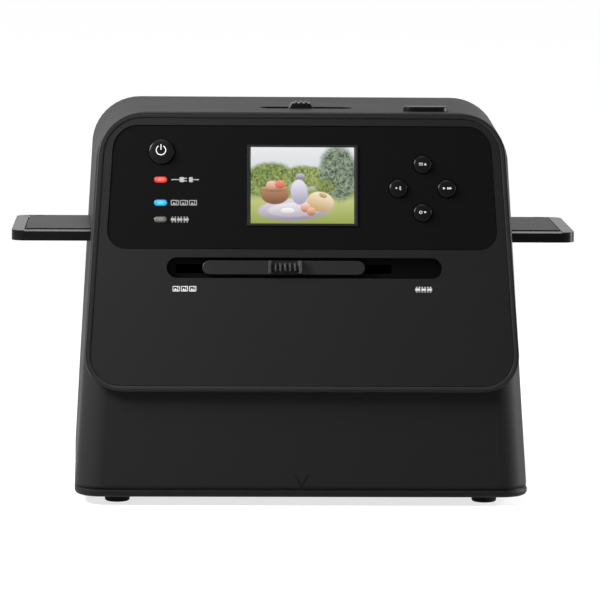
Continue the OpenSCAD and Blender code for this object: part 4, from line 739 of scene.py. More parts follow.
# the raised rim round the face, one loop with a rounded outer edge and a step inside for the panel
rim = {"deep": 9.0, "high": 0.35, "width": 2.45, "outerRound": 0.45, "seamIn": 0.12, "seamWide": 0.11,
       "seamDeep": 0.22, "chamfer": 0.5, "chamferDeep": 0.35, "panelDeep": 3.55, "ledge": 3.0, "weld": 0.05}
collar = facePlate("faceRim", 0, -rim["deep"], rim["high"], steps=12)
roundRim(collar, rim["high"], rim["outerRound"], segments=4)
pickOut(collar, "FACE", facesUp)
drawIn(rim["seamIn"])
drawIn(rim["seamWide"], -rim["seamDeep"])
drawIn(rim["seamWide"], rim["seamDeep"])
drawIn(rim["width"] - rim["outerRound"] - rim["seamIn"] - 2 * rim["seamWide"] - rim["chamfer"])
drawIn(rim["chamfer"], -rim["chamferDeep"])
pull(rim["chamferDeep"] - rim["panelDeep"])
drawIn(rim["ledge"])
pull(rim["panelDeep"] - rim["high"] - rim["deep"])
dropFaces()
pickOut(collar, "FACE", facesDown)
drawIn(rim["width"] + rim["ledge"])
dropFaces()
pickOut(collar, "VERT", lambda co: co.z < (near - rim["deep"]) * mm)
bpy.ops.mesh.remove_doubles(threshold=rim["weld"] * mm)
doneEditing()
evenShading(leanBack(fixNormals(collar)), angle=40)
place(collar, "housing", "rimPlastic", "shell_black", "body_shell")
print("face rim done")


# front panel with the window's pocket and the slider's recess
panel = {
    "inset": 2.7, "thick": 3.2, "edge": 0.14, "root": 0.5,
    "windowIn": 6.5, "windowTop": 28.5, "windowBottom": 30.6, "windowTopR": 12.0, "windowBottomR": 9.0,
    "windowDeep": 1.7, "recessX": 1.0, "recessV": -39.35, "recessLength": 130.0, "recessHeight": 9.9,
    "recessDeep": 3.4, "cupWall": 1.4, "slotX": -8.7, "slotLength": 102.0, "slotV": -39.3, "slotHeight": 4.7,
    "slotRound": 1.0, "slotDeep": 7.4, "bosses": [(-80.0, 20.0), (-80.0, -22.0), (80.0, 20.0), (80.0, -22.0)],
    "bossRadius": 3.0, "bossDeep": 9.2, "pipX": 52.7, "pipRadius": 0.65, "pipHigh": 0.2, "pipEdge": 0.15,
}
window = {"low": -1.7, "high": -0.35, "gap": 0.22, "edge": 0.12}
bezel = {"proud": 0.15, "deep": 3.2, "width": 52.2, "height": 38.5, "openWidth": 48.5, "openHeight": 36.0,
         "drop": 0.2, "straight": -1.2, "slope": 1.8, "flareX": 1.052, "flareY": 1.036, "edge": 0.12,
         "corner": 0.35, "openCorner": 0.15}
keys = {
    "powerKey": {"x": -66.7, "v": 15.8, "radius": 5.9, "node": "power_button", "body": "power_key"},
    "upKey": {"x": 56.8, "v": 10.2, "radius": 4.25, "node": "up_button", "body": "up_key"},
    "leftKey": {"x": 45.3, "v": -1.3, "radius": 4.25, "node": "left_button", "body": "left_key"},
    "rightKey": {"x": 68.3, "v": -1.3, "radius": 4.25, "node": "right_button", "body": "right_key"},
    "downKey": {"x": 56.8, "v": -12.8, "radius": 4.25, "node": "down_button", "body": "down_key"},
}
holeGap = {"key": 0.35, "light": 0.2, "bezel": 0.2, "bezelCorner": 0.3}
p = panel


def faceHoles(low):
    holes = [roundPlug("cutter", key["radius"] + holeGap["key"], key["x"], key["v"], low - past, past,
                       facets=64)
             for key in keys.values()]
    holes += [capsulePlate("cutter", look["length"] + holeGap["light"], look["height"] + holeGap["light"],
                           look["x"], look["v"], low - past, past) for look in lights.values()]
    return holes + [roundedPlate("cutter", boxCorners(bezel["width"] + holeGap["bezel"], bezel["height"]
                                                      + holeGap["bezel"]),
                                 holeGap["bezelCorner"], low - past, past, steps=3)]


def recessPlate(name, grow, low, high):
    return capsulePlate(name, p["recessLength"] + 2 * grow, p["recessHeight"] + 2 * grow, p["recessX"],
                        p["recessV"], low, high, steps=12)


def windowPlate(name, gap, low, high):
    corners = slantedCorners(face["half"] - p["windowIn"], p["windowTop"], p["windowBottom"], gap)
    return roundedPlate(name, corners, [p["windowBottomR"] - gap] * 2 + [p["windowTopR"] - gap] * 2, low,
                        high, steps=12)


def finishFace(piece, edge, body, look, slotName, *replaced, steps=2, angle=40, shadeAngle=35):
    # softens, leans back, shades and places a piece of the face
    evenShading(leanBack(softEdges(piece, edge, steps, angle)), shadeAngle)
    place(piece, body, look, slotName, *replaced)


sheet = facePlate("frontPanel", p["inset"], -p["thick"], 0, steps=12)
cup = recessPlate("cup", p["cupWall"], -p["recessDeep"] - p["cupWall"], p["root"] - p["thick"])
combine(sheet, [cup] + roundPlugs(p["bosses"], p["bossRadius"], -p["bossDeep"], p["root"] - p["thick"]),
        "UNION")
slot = roundedPlate("cutter", boxCorners(p["slotLength"], p["slotHeight"], p["slotX"], p["slotV"]),
                    p["slotRound"], -p["slotDeep"], past, steps=6)
combine(sheet, [windowPlate("cutter", 0, -p["windowDeep"], past),
                recessPlate("cutter", 0, -p["recessDeep"], past), slot]
        + faceHoles(-p["thick"]))
finishFace(sheet, p["edge"], "housing", "panelPlastic", "panel_black", "front_panel")
pip = roundPlug("recessPip", p["pipRadius"], p["pipX"], p["recessV"], -p["recessDeep"],
                p["pipHigh"] - p["recessDeep"], facets=24)
place(smooth(leanBack(softEdges(pip, p["pipEdge"]))), "housing", "panelPlastic", "panel_black")
print("front panel done")

glass = combine(windowPlate("displayWindow", window["gap"], window["low"], window["high"]),
                faceHoles(window["low"]))
finishFace(glass, window["edge"], "housing", "glossSheet", "gloss_black", "display_window")

frameRing = roundedPlate("screenBezel", boxCorners(bezel["width"], bezel["height"]), bezel["corner"],
                         -bezel["deep"], bezel["proud"], steps=3)
flared = roundedPlate("cutter", boxCorners(bezel["openWidth"], bezel["openHeight"], 0, -bezel["drop"]),
                      bezel["openCorner"], -bezel["deep"] - past, bezel["straight"], steps=3)
pickOut(flared, "FACE", facesUp)
pull(bezel["slope"])
narrowTop(flared, bezel["flareX"], bezel["flareY"], 0, -(bezel["openHeight"] / 2 + bezel["drop"]))
finishFace(combine(frameRing, [flared]), bezel["edge"], "housing", "bezelPlastic", "panel_black", "lcd_frame",
           angle=20, shadeAngle=30)
print("window and bezel done")


# keys: a plug whose top is drawn in and raised step by step into a dome
dome = {
    "low": -3.5, "shoulder": 0.28, "flangeLow": -4.3, "flangeWide": 1.0, "stem": 1.5, "stemLow": -6.3,
    "sunk": 0.05, "edge": 0.12, "small": [(0.06, 0.12), (0.14, 0.14), (0.30, 0.22), (0.45, 0.22),
                                          (0.60, 0.19), (0.70, 0.13), (0.75, 0.07), (0.60, 0.02)],
    "large": [(0.06, 0.12), (0.14, 0.14), (0.35, 0.22), (0.60, 0.22), (0.80, 0.17), (1.00, 0.12),
              (1.20, 0.08), (1.00, 0.03)],
}
for name, key in keys.items():
    steps, look = (dome["large"], "powerKeyPlastic") if name == "powerKey" else (dome["small"], "keyPlastic")
    key["top"] = dome["shoulder"] + sum(rise for inwards, rise in steps)
    cap = roundPlug(name, key["radius"], key["x"], key["v"], dome["low"], dome["shoulder"], facets=72)
    pickOut(cap, "FACE", facesUp)
    for inwards, rise in steps:
        drawIn(inwards, rise)
    doneEditing()
    flange = roundPlug("flange", key["radius"] + dome["flangeWide"], key["x"], key["v"],
                       dome["flangeLow"], dome["low"] + dome["sunk"])
    stem = roundPlug("stem", dome["stem"], key["x"], key["v"], dome["stemLow"], dome["flangeLow"]
                     + dome["sunk"], facets=32)
    whole = joinAll(name, [cap, softEdges(flange, dome["edge"]), softEdges(stem, dome["edge"])])
    place(smooth(leanBack(whole), angle=50), key["body"], look, "gloss_black", key["node"])
print("keys done, tops at", *[round(key["top"], 2) for key in keys.values()])


# printed marks: thin inked shapes that lie on the surface under them
marks = {"ink": 0.12, "corner": 0.2, "windowTop": -0.31, "panelTop": 0.05, "keyOver": 0.02, "powerOver": 0.03,
         "line": 0.32, "hills": [(-0.12, -0.16, 0.52), (0.17, -0.21, 0.36)], "sun": (0.2, 0.17, 0.18),
         "frameGap": 0.5, "holeHigh": 0.46, "holeLong": 0.598, "frameRest": 0.64}
m = marks
symbols = {
    # rings: x, height, radius, line, opening; bars: x, height, length, width; arrows: x, height, size, turn
    "powerKey": {"rings": [(-0.2, 0.5, 2.45, 0.42, 32)], "bars": [(-0.2, 1.9, 0.44, 2.6)]},
    "upKey": {"bars": [(-0.8, -0.42, 1.9, 0.3), (-0.8, 0.42, 1.9, 0.3)], "arrows": [(1.25, -0.1, 1.3, 0)]},
    "leftKey": {"bars": [(-1.0, 0, 1.2, 0.3), (-1.0, 0, 0.3, 1.2)],
                "arrows": [(0.9, 0.48, 0.95, 0), (0.9, -0.48, 0.95, 180)]},
    "rightKey": {"arrows": [(-1.45, 0, 1.35, -90), (0.55, 0, 1.35, -90), (1.65, 0, 1.35, -90)]},
    "downKey": {"rings": [(-0.9, 0, 0.75, 0.28, 0)], "arrows": [(1.1, 0.1, 1.3, 180)]},
}
plug = [(-60.0, 2.5, 4.0, 0.42), (-57.0, 2.5, 2.2, 2.4), (-55.3, 3.12, 1.3, 0.42), (-55.3, 1.88, 1.3, 0.42),
        (-52.7, 2.5, 1.8, 2.4), (-50.4, 2.5, 3.0, 0.42)]


def inkBar(x, v, width, height, top):
    return roundedPlate("ink", boxCorners(width, height, x, v), min(width, height) * m["corner"],
                        top - m["ink"], top, steps=2)


def inkShape(x, v, radius, corners, top, turn=0.0, line=0.0, opening=0.0):
    # a filled shape, or with a line a ring, which an opening leaves open at its top
    shape = newPiece("ink", bpy.ops.mesh.primitive_circle_add, vertices=corners, radius=radius * mm,
                     fill_type="NGON", location=(x * mm, v * mm, (top - m["ink"]) * mm),
                     rotation=(0, 0, math.radians(turn)))
    if line > 0:
        pickOut(shape, "FACE", everything)
        drawIn(line)
        dropFaces()
    if opening > 0:
        pickOut(shape, "FACE", lambda centre, normal: centre.y > v * mm and
                abs(math.degrees(math.atan2(centre.x - x * mm, centre.y - v * mm))) < opening)
        dropFaces()
    pickOut(shape, "FACE", everything)
    pull(m["ink"])
    return fixNormals(shape)


def arrow(x, v, size, turn, top):
    # points up at a turn of 0
    return inkShape(x, v, size / math.sqrt(3), 3, top, turn)


def inkMark(name, shapes, body, look):
    place(leanBack(joinAll(name, shapes)), body, look, "panel_black")


def pictureIcons(x, v, top, pitch, width, height):
    # three framed landscapes: an outline, two hills and a sun each
    parts = []
    for middle in (x, x + pitch, x + 2 * pitch):
        parts += [inkBar(middle, v + side * (height - m["line"]) / 2, width, m["line"], top)
                  for side in sides]
        parts += [inkBar(middle + side * (width - m["line"]) / 2, v, m["line"], height, top)
                  for side in sides]
        parts += [arrow(middle + width * east, v + height * up, height * size, 0, top)
                  for east, up, size in m["hills"]]
        east, up, size = m["sun"]
        parts.append(inkBar(middle + width * east, v + height * up, height * size, height * size, top))
    return parts


def filmIcon(x, v, top, windows, width, height):
    # a strip of film: a row of frames between two rows of sprocket holes
    wide = (width - m["frameGap"] * (windows - 1)) / windows
    tall = height - 2 * m["holeHigh"] - m["frameRest"]
    parts = [inkBar(x + (n - (windows - 1) / 2) * (wide + m["frameGap"]), v, wide, tall, top)
             for n in range(windows)]
    holes = windows * 2
    return parts + [inkBar(x + (n - (holes - 1) / 2) * width / holes, v + side * (height - m["holeHigh"]) / 2,
                           m["holeLong"], m["holeHigh"], top) for n in range(holes) for side in sides]


icons = [
    # name, drawing, x, height, surface, pitch or frames, length and width, ink
    ("photoIcon", pictureIcons, -60.3, -8.5, "windowTop", (4.3, 3.7, 2.5), "markInk"),
    ("filmIcon", filmIcon, -57.9, -16.5, "windowTop", (3, 8.4, 2.7), "markInk"),
    ("sliderPhotoIcon", pictureIcons, -59.5, -49.4, "panelTop", (3.9, 3.3, 2.5), "markWhite"),
    ("sliderFilmIcon", filmIcon, 57.2, -49.4, "panelTop", (3, 7.9, 2.6), "markWhite"),
]
inkMark("powerIcon", [inkBar(x, v, length, width, m["windowTop"]) for x, v, length, width in plug], "housing",
        "markInk")
for name, draw, x, v, surface, sizes, look in icons:
    inkMark(name, draw(x, v, m[surface], *sizes), "housing", look)
for name, symbol in symbols.items():
    key = keys[name]
    top = key["top"] + m["powerOver" if name == "powerKey" else "keyOver"]
    shapes = [inkShape(key["x"] + x, key["v"] + v, radius, 72, top, 0, line, opening)
              for x, v, radius, line, opening in symbol.get("rings", [])]
    shapes += [inkBar(key["x"] + x, key["v"] + v, length, width, top)
               for x, v, length, width in symbol.get("bars", [])]
    shapes += [arrow(key["x"] + x, key["v"] + v, size, turn, top)
               for x, v, size, turn in symbol.get("arrows", [])]
    inkMark(name.replace("Key", "Symbol"), shapes, key["body"], "markWhite")
print("marks printed")


# status lights: pill-shaped light pipes with a low dome
pill = {"low": -8.0, "high": 0.15, "round": 0.7, "collar": 1.0, "collarLow": -4.0, "collarHigh": -3.2}
for name, light, node, slotName in (("powerLamp", "redLight", "power_light", "light_red"),
                                    ("photoLamp", "blueLight", "photo_light", "light_blue"),
                                    ("filmLamp", "greyLight", "film_light", "light_grey")):
    look = lights[light]
    pipe = capsulePlate(name, look["length"], look["height"], look["x"], look["v"], pill["low"], pill["high"])
    roundRim(pipe, pill["high"], pill["round"], segments=6, clamp=True)
    ring = capsulePlate("collar", look["length"] + pill["collar"], look["height"] + pill["collar"], look["x"],
                        look["v"], pill["collarLow"], pill["collarHigh"], steps=8)
    place(smooth(leanBack(joinAll(name, [pipe, ring])), angle=50), "housing", light, slotName, node)
print("status lights done")


# mode slider: the cover bar in the recess and its ribbed knob
slider = {"x": -8.8, "v": -39.15, "length": 76.7, "height": 6.75, "low": -3.1, "high": -0.5, "edge": 0.45,
          "knobX": -8.1, "knobLength": 16.1, "knobHeight": 6.6, "bedHigh": -0.3, "bedCorner": 0.3,
          "bedEdge": 0.1, "endHigh": 2.0, "endCorner": 0.4, "endTop": (0.4, 0.86), "endLean": 0.325,
          "endEdge": 0.25, "ribs": 5, "ribWide": 1.35, "ribLong": 4.6, "ribHigh": 1.6, "ribCorner": 0.3,
          "ribTop": (0.55, 0.5), "ribSlope": 1.2, "ribEdge": 0.2}
s = slider
bar = capsulePlate("modeBar", s["length"], s["height"], s["x"], s["v"], s["low"], s["high"], steps=12)
finishFace(bar, s["edge"], "mode_slider", "sliderPlastic", "panel_black", "mode_bar", steps=3, angle=32)
pitch = s["knobLength"] / (s["ribs"] + 2)
# a thin plate in the darker base finish between the knob's ribs: painted shade in the gaps
bed = roundedPlate("modeKnobShadeBed", boxCorners(s["knobLength"] - pitch, s["knobHeight"], s["knobX"], s["v"]),
                   s["bedCorner"], s["high"], s["bedHigh"], steps=3)
finishFace(bed, s["bedEdge"], "mode_slider", "basePlastic", "panel_black", steps=1, angle=32)
ridges = []
for side in sides:
    middle = s["knobX"] + side * (s["knobLength"] - pitch) / 2
    end = roundedPlate("modeKnob", boxCorners(pitch, s["knobHeight"], middle, s["v"]), s["endCorner"],
                       s["high"], s["endHigh"], steps=4)
    narrowTop(end, *s["endTop"], middle + side * s["endLean"] * pitch, s["v"])
    ridges.append(softEdges(end, s["endEdge"], segments=3, angle=25))
firstX = s["knobX"] + 1.5 * pitch - s["knobLength"] / 2
rib = roundedPlate("rib", boxCorners(s["ribWide"], s["ribLong"], firstX, s["v"]), s["ribCorner"], s["high"],
                   s["ribHigh"], steps=3)
narrowTop(rib, *s["ribTop"], firstX, s["v"] - s["ribSlope"])
ridges += inRow(softEdges(rib, s["ribEdge"], segments=3, angle=25), s["ribs"], pitch)
# the knob's pale finish paints its ribs' highlights
place(smooth(leanBack(joinAll("modeKnob", ridges)), angle=40), "mode_slider", "knobPlasticPaintedHighlight", "panel_black",
      "mode_knob")
print("mode slider done")


# film tray with its stepped pocket, and the lid that lies in it
tray = {
    "x": -3.5, "length": 269.0, "width": 76.0, "radius": 6.0, "low": 121.0, "thick": 4.9, "edge": 0.3,
    "end": 6.0, "front": 11.0, "frontDrop": 0.4, "seatDrop": 2.1, "filmWidth": 35.4, "filmDeep": 0.3,
    "backLip": 0.7, "lidGap": 0.4, "lidThick": 2.0, "lidEdge": 0.22, "backGap": 0.15,
    "windows": 5, "pitch": 38.0, "windowLength": 36.0, "windowWidth": 24.0, "windowCorner": 0.8,
    "pinY": 36.0, "pinRadius": 0.7, "pinBore": 6.0, "notchIn": 3.3, "notchLength": 3.8, "knuckle": 1.3,
    "knuckleDrop": 1.1, "lap": 0.1, "over": 1.0,
}
t = tray
trayTop = t["low"] + t["thick"]
lidHalf = t["length"] / 2 - t["end"]
lidFront = t["front"] - t["width"] / 2
lidBack = t["width"] / 2 - t["backLip"]


def trayCutters(top):
    # one window for each frame of film, and the bores of the lid's two pins
    first = roundedPlate("cutter", boxCorners(t["windowLength"], t["windowWidth"],
                                              t["x"] - (t["windows"] - 1) / 2 * t["pitch"]),
                         t["windowCorner"], t["low"] - t["over"], top, steps=3)
    return inRow(first, t["windows"], t["pitch"]) + [
        crossRod("cutter", t["pinRadius"], t["pinBore"], t["x"] + side * lidHalf, t["pinY"],
                 trayTop - t["lidThick"] / 2, facets=24)
        for side in sides]


trayBody = roundedPlate("filmTray", boxCorners(t["length"], t["width"], t["x"]), t["radius"], t["low"],
                        trayTop)
pocket = block("cutter", (t["x"] - lidHalf, lidFront, trayTop - t["seatDrop"]),
               (t["x"] + lidHalf, lidBack, trayTop + past))
channel = centredBlock("cutter", 2 * (lidHalf - t["end"]), t["filmWidth"], t["x"], 0,
                       trayTop - t["seatDrop"] - t["filmDeep"], trayTop)
frontStep = block("cutter", (t["x"] - lidHalf, -t["width"], trayTop - t["frontDrop"]),
                  (t["x"] + lidHalf, lidFront + t["lap"], trayTop + past))
combine(trayBody, [pocket, channel, frontStep] + trayCutters(trayTop))
place(evenShading(softEdges(trayBody, t["edge"], segments=3, angle=40)), "tray", "trayPlastic", "tray_black",
      "film_tray")
lid = block("trayLid", (t["x"] - lidHalf + t["lidGap"], lidFront + t["lidGap"], trayTop - t["lidThick"]),
            (t["x"] + lidHalf - t["lidGap"], lidBack - t["backGap"], trayTop))
combine(lid, [crossRod("knuckle", t["knuckle"], t["notchLength"], t["x"]
                       + side * (lidHalf - t["notchIn"] - t["notchLength"] / 2), lidBack - t["knuckle"],
                       trayTop - t["knuckleDrop"], facets=32) for side in sides], "UNION")
combine(lid, trayCutters(trayTop + t["over"]))
place(evenShading(softEdges(lid, t["lidEdge"], segments=2, angle=40)), "tray", "lidPlastic", "tray_black",
      "tray_lid")
print("tray and lid done")


# lens slider on the top face
lens = {"x": -0.7, "y": -10.0, "length": 36.8, "width": 7.0, "low": 181.5, "high": 182.2, "edge": 0.2,
        "knobX": 0.3, "knobLength": 12.4, "knobTop": (8.8 / 12.4, 0.94), "knobWidth": 11.0, "knobHigh": 185.4,
        "knobEdge": 0.35, "sunk": 0.02, "ribs": 3, "ribWide": 1.3, "ribLong": 10.2, "ribSunk": 0.4,
        "ribTop": (0.7, 0.96), "ribHigh": 186.0, "ribEdge": 0.22, "pitch": 2.4}
q = lens
lensBar = capsulePlate("lensSlider", q["length"], q["width"], q["x"], q["y"], q["low"], q["high"])
softEdges(lensBar, q["edge"], segments=3)
lensKnob = centredBlock("knob", q["knobLength"], q["knobWidth"], q["knobX"], q["y"], q["high"] - q["sunk"],
                        q["knobHigh"])
narrowTop(lensKnob, *q["knobTop"], q["knobX"], q["y"])
softEdges(lensKnob, q["knobEdge"], segments=3, angle=20)
ribX = q["knobX"] - q["pitch"]
lensRib = centredBlock("rib", q["ribWide"], q["ribLong"], ribX, q["y"], q["knobHigh"] - q["ribSunk"],
                       q["ribHigh"])
softEdges(narrowTop(lensRib, *q["ribTop"], ribX, q["y"]), q["ribEdge"], segments=3, angle=20)
smooth(joinAll("lensSlider", [lensBar, lensKnob] + inRow(lensRib, q["ribs"], q["pitch"])))
place(lensBar, "lens_slider", "topKeyPlastic", "panel_black", "lens_switch")

# scan button: a long key with a soft shoulder and a shallow dish
k = scan
scanKey = capsulePlate("scanKey", k["length"], k["width"], k["x"], k["y"], k["low"], k["high"], steps=14)
roundRim(scanKey, k["high"], k["round"], segments=5, clamp=True)
pickOut(scanKey, "FACE", facesUp)
for inwards, rise in k["dish"]:
    drawIn(inwards, rise)
doneEditing()
scanFlange = capsulePlate("flange", k["flangeLong"], k["width"], k["x"], k["y"], k["low"], k["flangeHigh"],
                          steps=8)
scanStem = roundPlug("stem", k["stem"], k["x"], k["y"], k["stemLow"], k["low"] + k["sunk"], facets=32)
smooth(joinAll("scanKey", [scanKey, scanFlange, scanStem]), angle=45)
place(scanKey, "scan_key", "topKeyPlastic", "gloss_black", "scan_button")
print("top controls done")


# base plate with its rounded lower edge, the print window, feet and screws
base = {
    "frontHalf": 106.9, "rearHalf": 109.9, "halfDeep": 77.5, "frontRadius": 13.0, "rearRadius": 16.0,
    "low": 4.0, "high": 7.4, "lowRound": 2.2, "topRound": 0.45, "seamIn": 1.0, "seamHigh": 7.9, "edge": 0.2,
    "windowLength": 156.0, "windowWidth": 106.0, "windowRadius": 4.0, "headPocket": 3.3, "headDeep": 2.2,
    "bore": 1.75, "footX": 87.0, "footY": 61.5, "footRadius": 5.9, "footHigh": 5.0, "footRound": 1.0,
    "footPocket": 6.2, "sole": [(1.2, 0.0), (0.3, -0.35)], "bossX": 98.0, "bossY": 61.5, "postX": 84.35,
    "postY": 41.2,
}
b = base
plan = [(-b["frontHalf"], -b["halfDeep"]), (b["frontHalf"], -b["halfDeep"]),
        (b["rearHalf"], b["halfDeep"]), (-b["rearHalf"], b["halfDeep"])]
plate = roundedPlate("basePlate", plan, [b["frontRadius"]] * 2 + [b["rearRadius"]] * 2, b["low"], b["high"],
                     steps=12)
roundRim(plate, b["low"], b["lowRound"], segments=5)
roundRim(plate, b["high"], b["topRound"], segments=2)
pickOut(plate, "FACE", facesUp)
drawIn(b["seamIn"] - b["topRound"])
pull(b["seamHigh"] - b["high"])
doneEditing()
spots = fourSpots(b["bossX"], b["bossY"]) + fourSpots(b["postX"], b["postY"])
footSpots = fourSpots(b["footX"], b["footY"])
bottom, over = b["low"] - past, b["seamHigh"] + past
printWindow = roundedPlate("cutter", boxCorners(b["windowLength"], b["windowWidth"]), b["windowRadius"],
                           bottom, over, steps=6)
combine(plate, [printWindow] + roundPlugs(spots, b["headPocket"], bottom, b["low"] + b["headDeep"], facets=36)
        + roundPlugs(spots, b["bore"], bottom, over, facets=24)
        + roundPlugs(footSpots, b["footPocket"], bottom, b["footHigh"], facets=40))
place(evenShading(softEdges(plate, b["edge"], segments=2, angle=50)), "housing", "basePlastic", "shell_black",
      "base_plate")

foot = roundPlug("feet", b["footRadius"], *footSpots[0], 0, b["footHigh"], facets=56)
roundRim(foot, 0, b["footRound"], segments=4)
pickOut(foot, "FACE", facesDown)
for inwards, rise in b["sole"]:
    drawIn(inwards, rise)
doneEditing()
otherFeet = copies(foot, [(x - footSpots[0][0], y - footSpots[0][1], 0) for x, y in footSpots[1:]])
place(smooth(joinAll("feet", [foot] + otherFeet), angle=40), "housing", "footRubber", "foot_rubber", "feet")


# a screw lies with its head down at the origin and its shank up
screw = {"over": 1.0, "edge": 0.22, "tip": (0.35, 0.4), "cross": 0.62, "crossWide": 0.24, "crossDeep": 0.55,
         "crossFoot": 0.45}
screwSets = {
    "baseScrews": {"head": 3.0, "high": 1.8, "shank": 1.45, "long": 12.0, "facets": 36, "rise": 4.15},
    "rearScrews": {"head": 2.2, "high": 1.3, "shank": 1.1, "long": 5.0, "facets": 32, "rise": -0.05},
}


def screwSet(name, places, flip=False):
    size = screwSets[name]
    head = roundPlug("screw", size["head"], 0, 0, 0, size["high"], size["facets"])
    roundRim(head, 0, size["head"] * screw["edge"], segments=4)
    pickOut(head, "FACE", facesUp)
    drawIn(size["head"] - size["shank"])
    pull(size["long"])
    drawIn(size["shank"] * screw["tip"][0], size["shank"] * screw["tip"][1])
    doneEditing()
    reach = size["head"] * screw["cross"]
    for length, width in ((reach, reach * screw["crossWide"]), (reach * screw["crossWide"], reach)):
        groove = centredBlock("cutter", 2 * length, 2 * width, 0, 0, -screw["over"],
                              size["high"] * screw["crossDeep"])
        combine(head, [narrowTop(groove, screw["crossFoot"], screw["crossFoot"])])
    smooth(head)
    if flip:
        head.data.transform(Matrix.Rotation(math.radians(180), 4, "X"))
    whole = joinAll(name, copies(head, [(x, y, size["rise"]) for x, y in places]))
    bpy.data.objects.remove(head)
    return whole


place(screwSet("baseScrews", spots), "housing", "screwSteel", "screw_steel", "base_screws")
print("base, feet and screws done")


# rear cover with its two ports, the ribs that carry the main board, and its four screws
rear = {"gap": 0.3, "ribX": 65.0, "ribThick": 2.5, "ribFront": 34.4, "ribBack": 74.0, "ribLow": 84.0,
        "ribHigh": 92.0, "ribBury": 1.0, "behind": (240.0, 200.0, 40.0), "portFront": 68.0, "portBack": 80.0,
        "usb": (-34.8, -25.2, 93.3, 97.1), "card": (12.6, 37.4, 93.9, 96.5),
        "screwX": 85.5, "screwReach": 46.7, "headPocket": 2.5, "bore": 1.4, "bevel": 0.35}
r = rear
cover = coverPlate("rearCover", r["gap"], o["coverRadius"] - r["gap"], -o["coverDeep"], 0, steps=10)
rearSpots = fourSpots(r["screwX"], r["screwReach"], coverMiddle)
combine(cover, roundPlugs(rearSpots, r["headPocket"], -screwSets["rearScrews"]["high"], past, facets=32)
        + roundPlugs(rearSpots, r["bore"], -o["coverDeep"] - past, past, facets=24))
leanRear(cover)
for side in sides:
    rib = block("rib", (side * r["ribX"] - r["ribThick"] / 2, r["ribFront"], r["ribLow"]),
                (side * r["ribX"] + r["ribThick"] / 2, r["ribBack"], r["ribHigh"]))
    long, tall, deep = r["behind"]
    behind = leanRear(centredBlock("cutter", long, tall, 0, coverMiddle, -r["ribBury"], deep))
    combine(cover, [combine(rib, [behind])], "UNION")
combine(cover, [block("cutter", (left, r["portFront"], low), (end, r["portBack"], high))
                for left, end, low, high in (r["usb"], r["card"])])
place(evenShading(softEdges(cover, r["bevel"], segments=2, angle=40)), "housing", "shellPlastic",
      "shell_black", "rear_cover")
place(leanRear(screwSet("rearScrews", rearSpots, True)), "housing", "screwSteel", "screw_steel",
      "rear_screws")
print("rear done")


# finishes for the CAD nodes that keep their own mesh
carried = {
    "screenPicture": ["lcd_screen"],
    "canSteel": ["lcd_can", "usb_port"],
    "greenBoard": ["control_board", "main_board", "sensor_board"],
    "whiteBoard": ["backlight_board", "photo_lamp_left", "photo_lamp_right", "status_leds"],
    "opalDiffuser": ["backlight_diffuser", "lamp_diffuser_left", "lamp_diffuser_right"],
    "innerPlastic": ["film_deck", "upper_guide", "light_hood", "backlight_carriage", "mode_arm", "deck_posts",
                     "lens_barrel", "macro_carriage", "tact_switches", "scan_switch", "card_socket"],
    "bracketAluminium": ["camera_bracket"],
    "rodSteel": ["guide_rods", "tray_hinge_pins"],
    "springSteel": ["detent_spring"],
    "screwSteel": ["guide_screws", "board_screws"],
    "sealFelt": ["slot_seal_left", "slot_seal_right"],
    "flatCable": ["display_cable", "sensor_cable"],
    "lensGlass": ["lens_glass", "macro_lens"],
}
for look, names in carried.items():
    for name in names:
        dress(nodes[name], look)
print("carried nodes finished:", sum(len(names) for names in carried.values()))


# floor, sky, lamps and camera
studio = {
    # the floor's glow is lower near the object than far off: painted shadow round it
    "floorRadius": 12.0, "floorColour": 0.36, "floorGlow": (0.75, 0.97), "glowReach": (0.35, 1.8),
    "sky": 0.05, "lamps": [
        {"name": "topBox", "at": (-0.2, -0.25, 2.2), "aim": (0, 0, 0.1), "size": (1.6, 0.9), "watts": 15.0},
        {"name": "leftBox", "at": (-0.45, -0.17, 0.43), "aim": (0, -0.05, 0.13), "size": (0.22, 0.22),
         "watts": 7.2},
        {"name": "rightStrip", "at": (1.0, 0.1, 0.27), "aim": (0.1, 0.0, 0.12), "size": (0.4, 0.5),
         "watts": 20.0},
    ],
    "cameraAt": (-0.0619, -1.9340, 0.3192), "yaw": 1.86, "pitch": 6.8, "roll": 0.43, "lens": 240.0,
    "film": 36.0, "farthest": 60.0,
}


def backdropMix(add, level):
    # level where only lamps see it, white where the camera or a reflection does
    seen = add("LightPath").outputs
    either = add("Math", seen["Is Camera Ray"], seen["Is Glossy Ray"], operation="MAXIMUM")
    either = add("Math", either, seen["Is Transmission Ray"], operation="MAXIMUM")
    return add("MapRange", value=either, toMin=level, toMax=1.0)


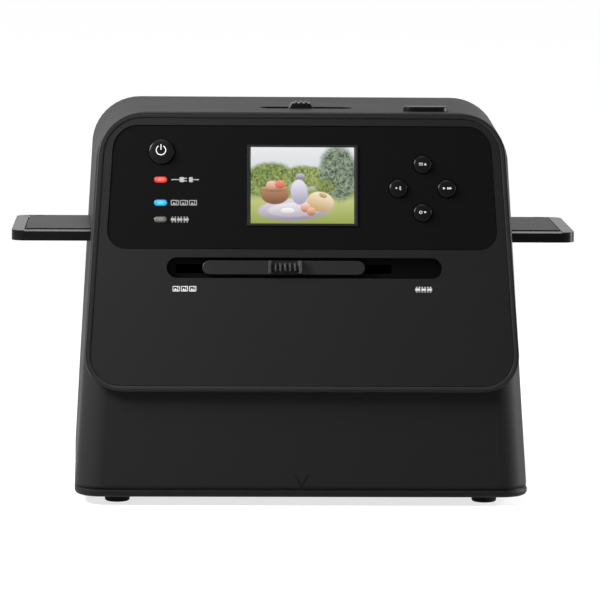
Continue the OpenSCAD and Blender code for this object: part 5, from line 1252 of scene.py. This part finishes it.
white = (1, 1, 1)
floor = newPiece("studioFloor", bpy.ops.mesh.primitive_circle_add, vertices=96, radius=studio["floorRadius"],
                 fill_type="NGON")
paper = bpy.data.materials.new("studioFloor")
paper.use_nodes = True
paper.node_tree.nodes.clear()
add = nodeAdder(paper.node_tree)
away = add("VectorMath", add("TexCoord").outputs["Object"], operation="LENGTH")
inner, outer = studio["glowReach"]
dim, bright = studio["floorGlow"]
# the glow dims towards the object: painted shadow, on top of the shadow the lamps cast on the diffuse floor
grow = add("MapRange", value=away, fromMin=inner, fromMax=outer, toMin=dim, toMax=bright)
glow = add("Emission", color=white, strength=add("Math", backdropMix(add, 0.0), grow, operation="MULTIPLY"))
add("OutputMaterial", surface=add("AddShader", add("BsdfDiffuse", color=(studio["floorColour"],) * 3), glow))
floor.data.materials.append(paper)

sky = bpy.data.worlds.new("studioSky")
bpy.context.scene.world = sky
sky.use_nodes = True
add = nodeAdder(sky.node_tree)
add(sky.node_tree.nodes["Background"], color=white, strength=backdropMix(add, studio["sky"]))

for lamp in studio["lamps"]:
    freshStart()
    bpy.ops.object.light_add(type="AREA", location=lamp["at"])
    light = bpy.context.active_object
    light.name = lamp["name"]
    light.data.shape = "RECTANGLE"
    light.data.size, light.data.size_y = lamp["size"]
    light.data.energy = lamp["watts"]
    aim = Vector(lamp["aim"]) - Vector(lamp["at"])
    light.rotation_euler = aim.to_track_quat("-Z", "Y").to_euler()

yaw, pitch, roll = (math.radians(studio[key]) for key in ("yaw", "pitch", "roll"))
forward = Vector((math.sin(yaw) * math.cos(pitch), math.cos(yaw) * math.cos(pitch), -math.sin(pitch)))
across = Vector((math.cos(yaw), -math.sin(yaw), 0))
upward = across.cross(forward)
rightward = across * math.cos(roll) + upward * math.sin(roll)
upright = upward * math.cos(roll) - across * math.sin(roll)
freshStart()
bpy.ops.object.camera_add(location=(0, 0, 0))
camera = bpy.context.active_object
camera.name = "camera"
turn = Matrix((rightward, upright, -forward)).transposed().to_4x4()
camera.matrix_world = Matrix.Translation(Vector(studio["cameraAt"])) @ turn
camera.data.lens = studio["lens"]
camera.data.sensor_width = studio["film"]
camera.data.clip_end = studio["farthest"]
bpy.context.scene.camera = camera
bpy.context.scene.view_settings.view_transform = "Standard"
print("studio ready")
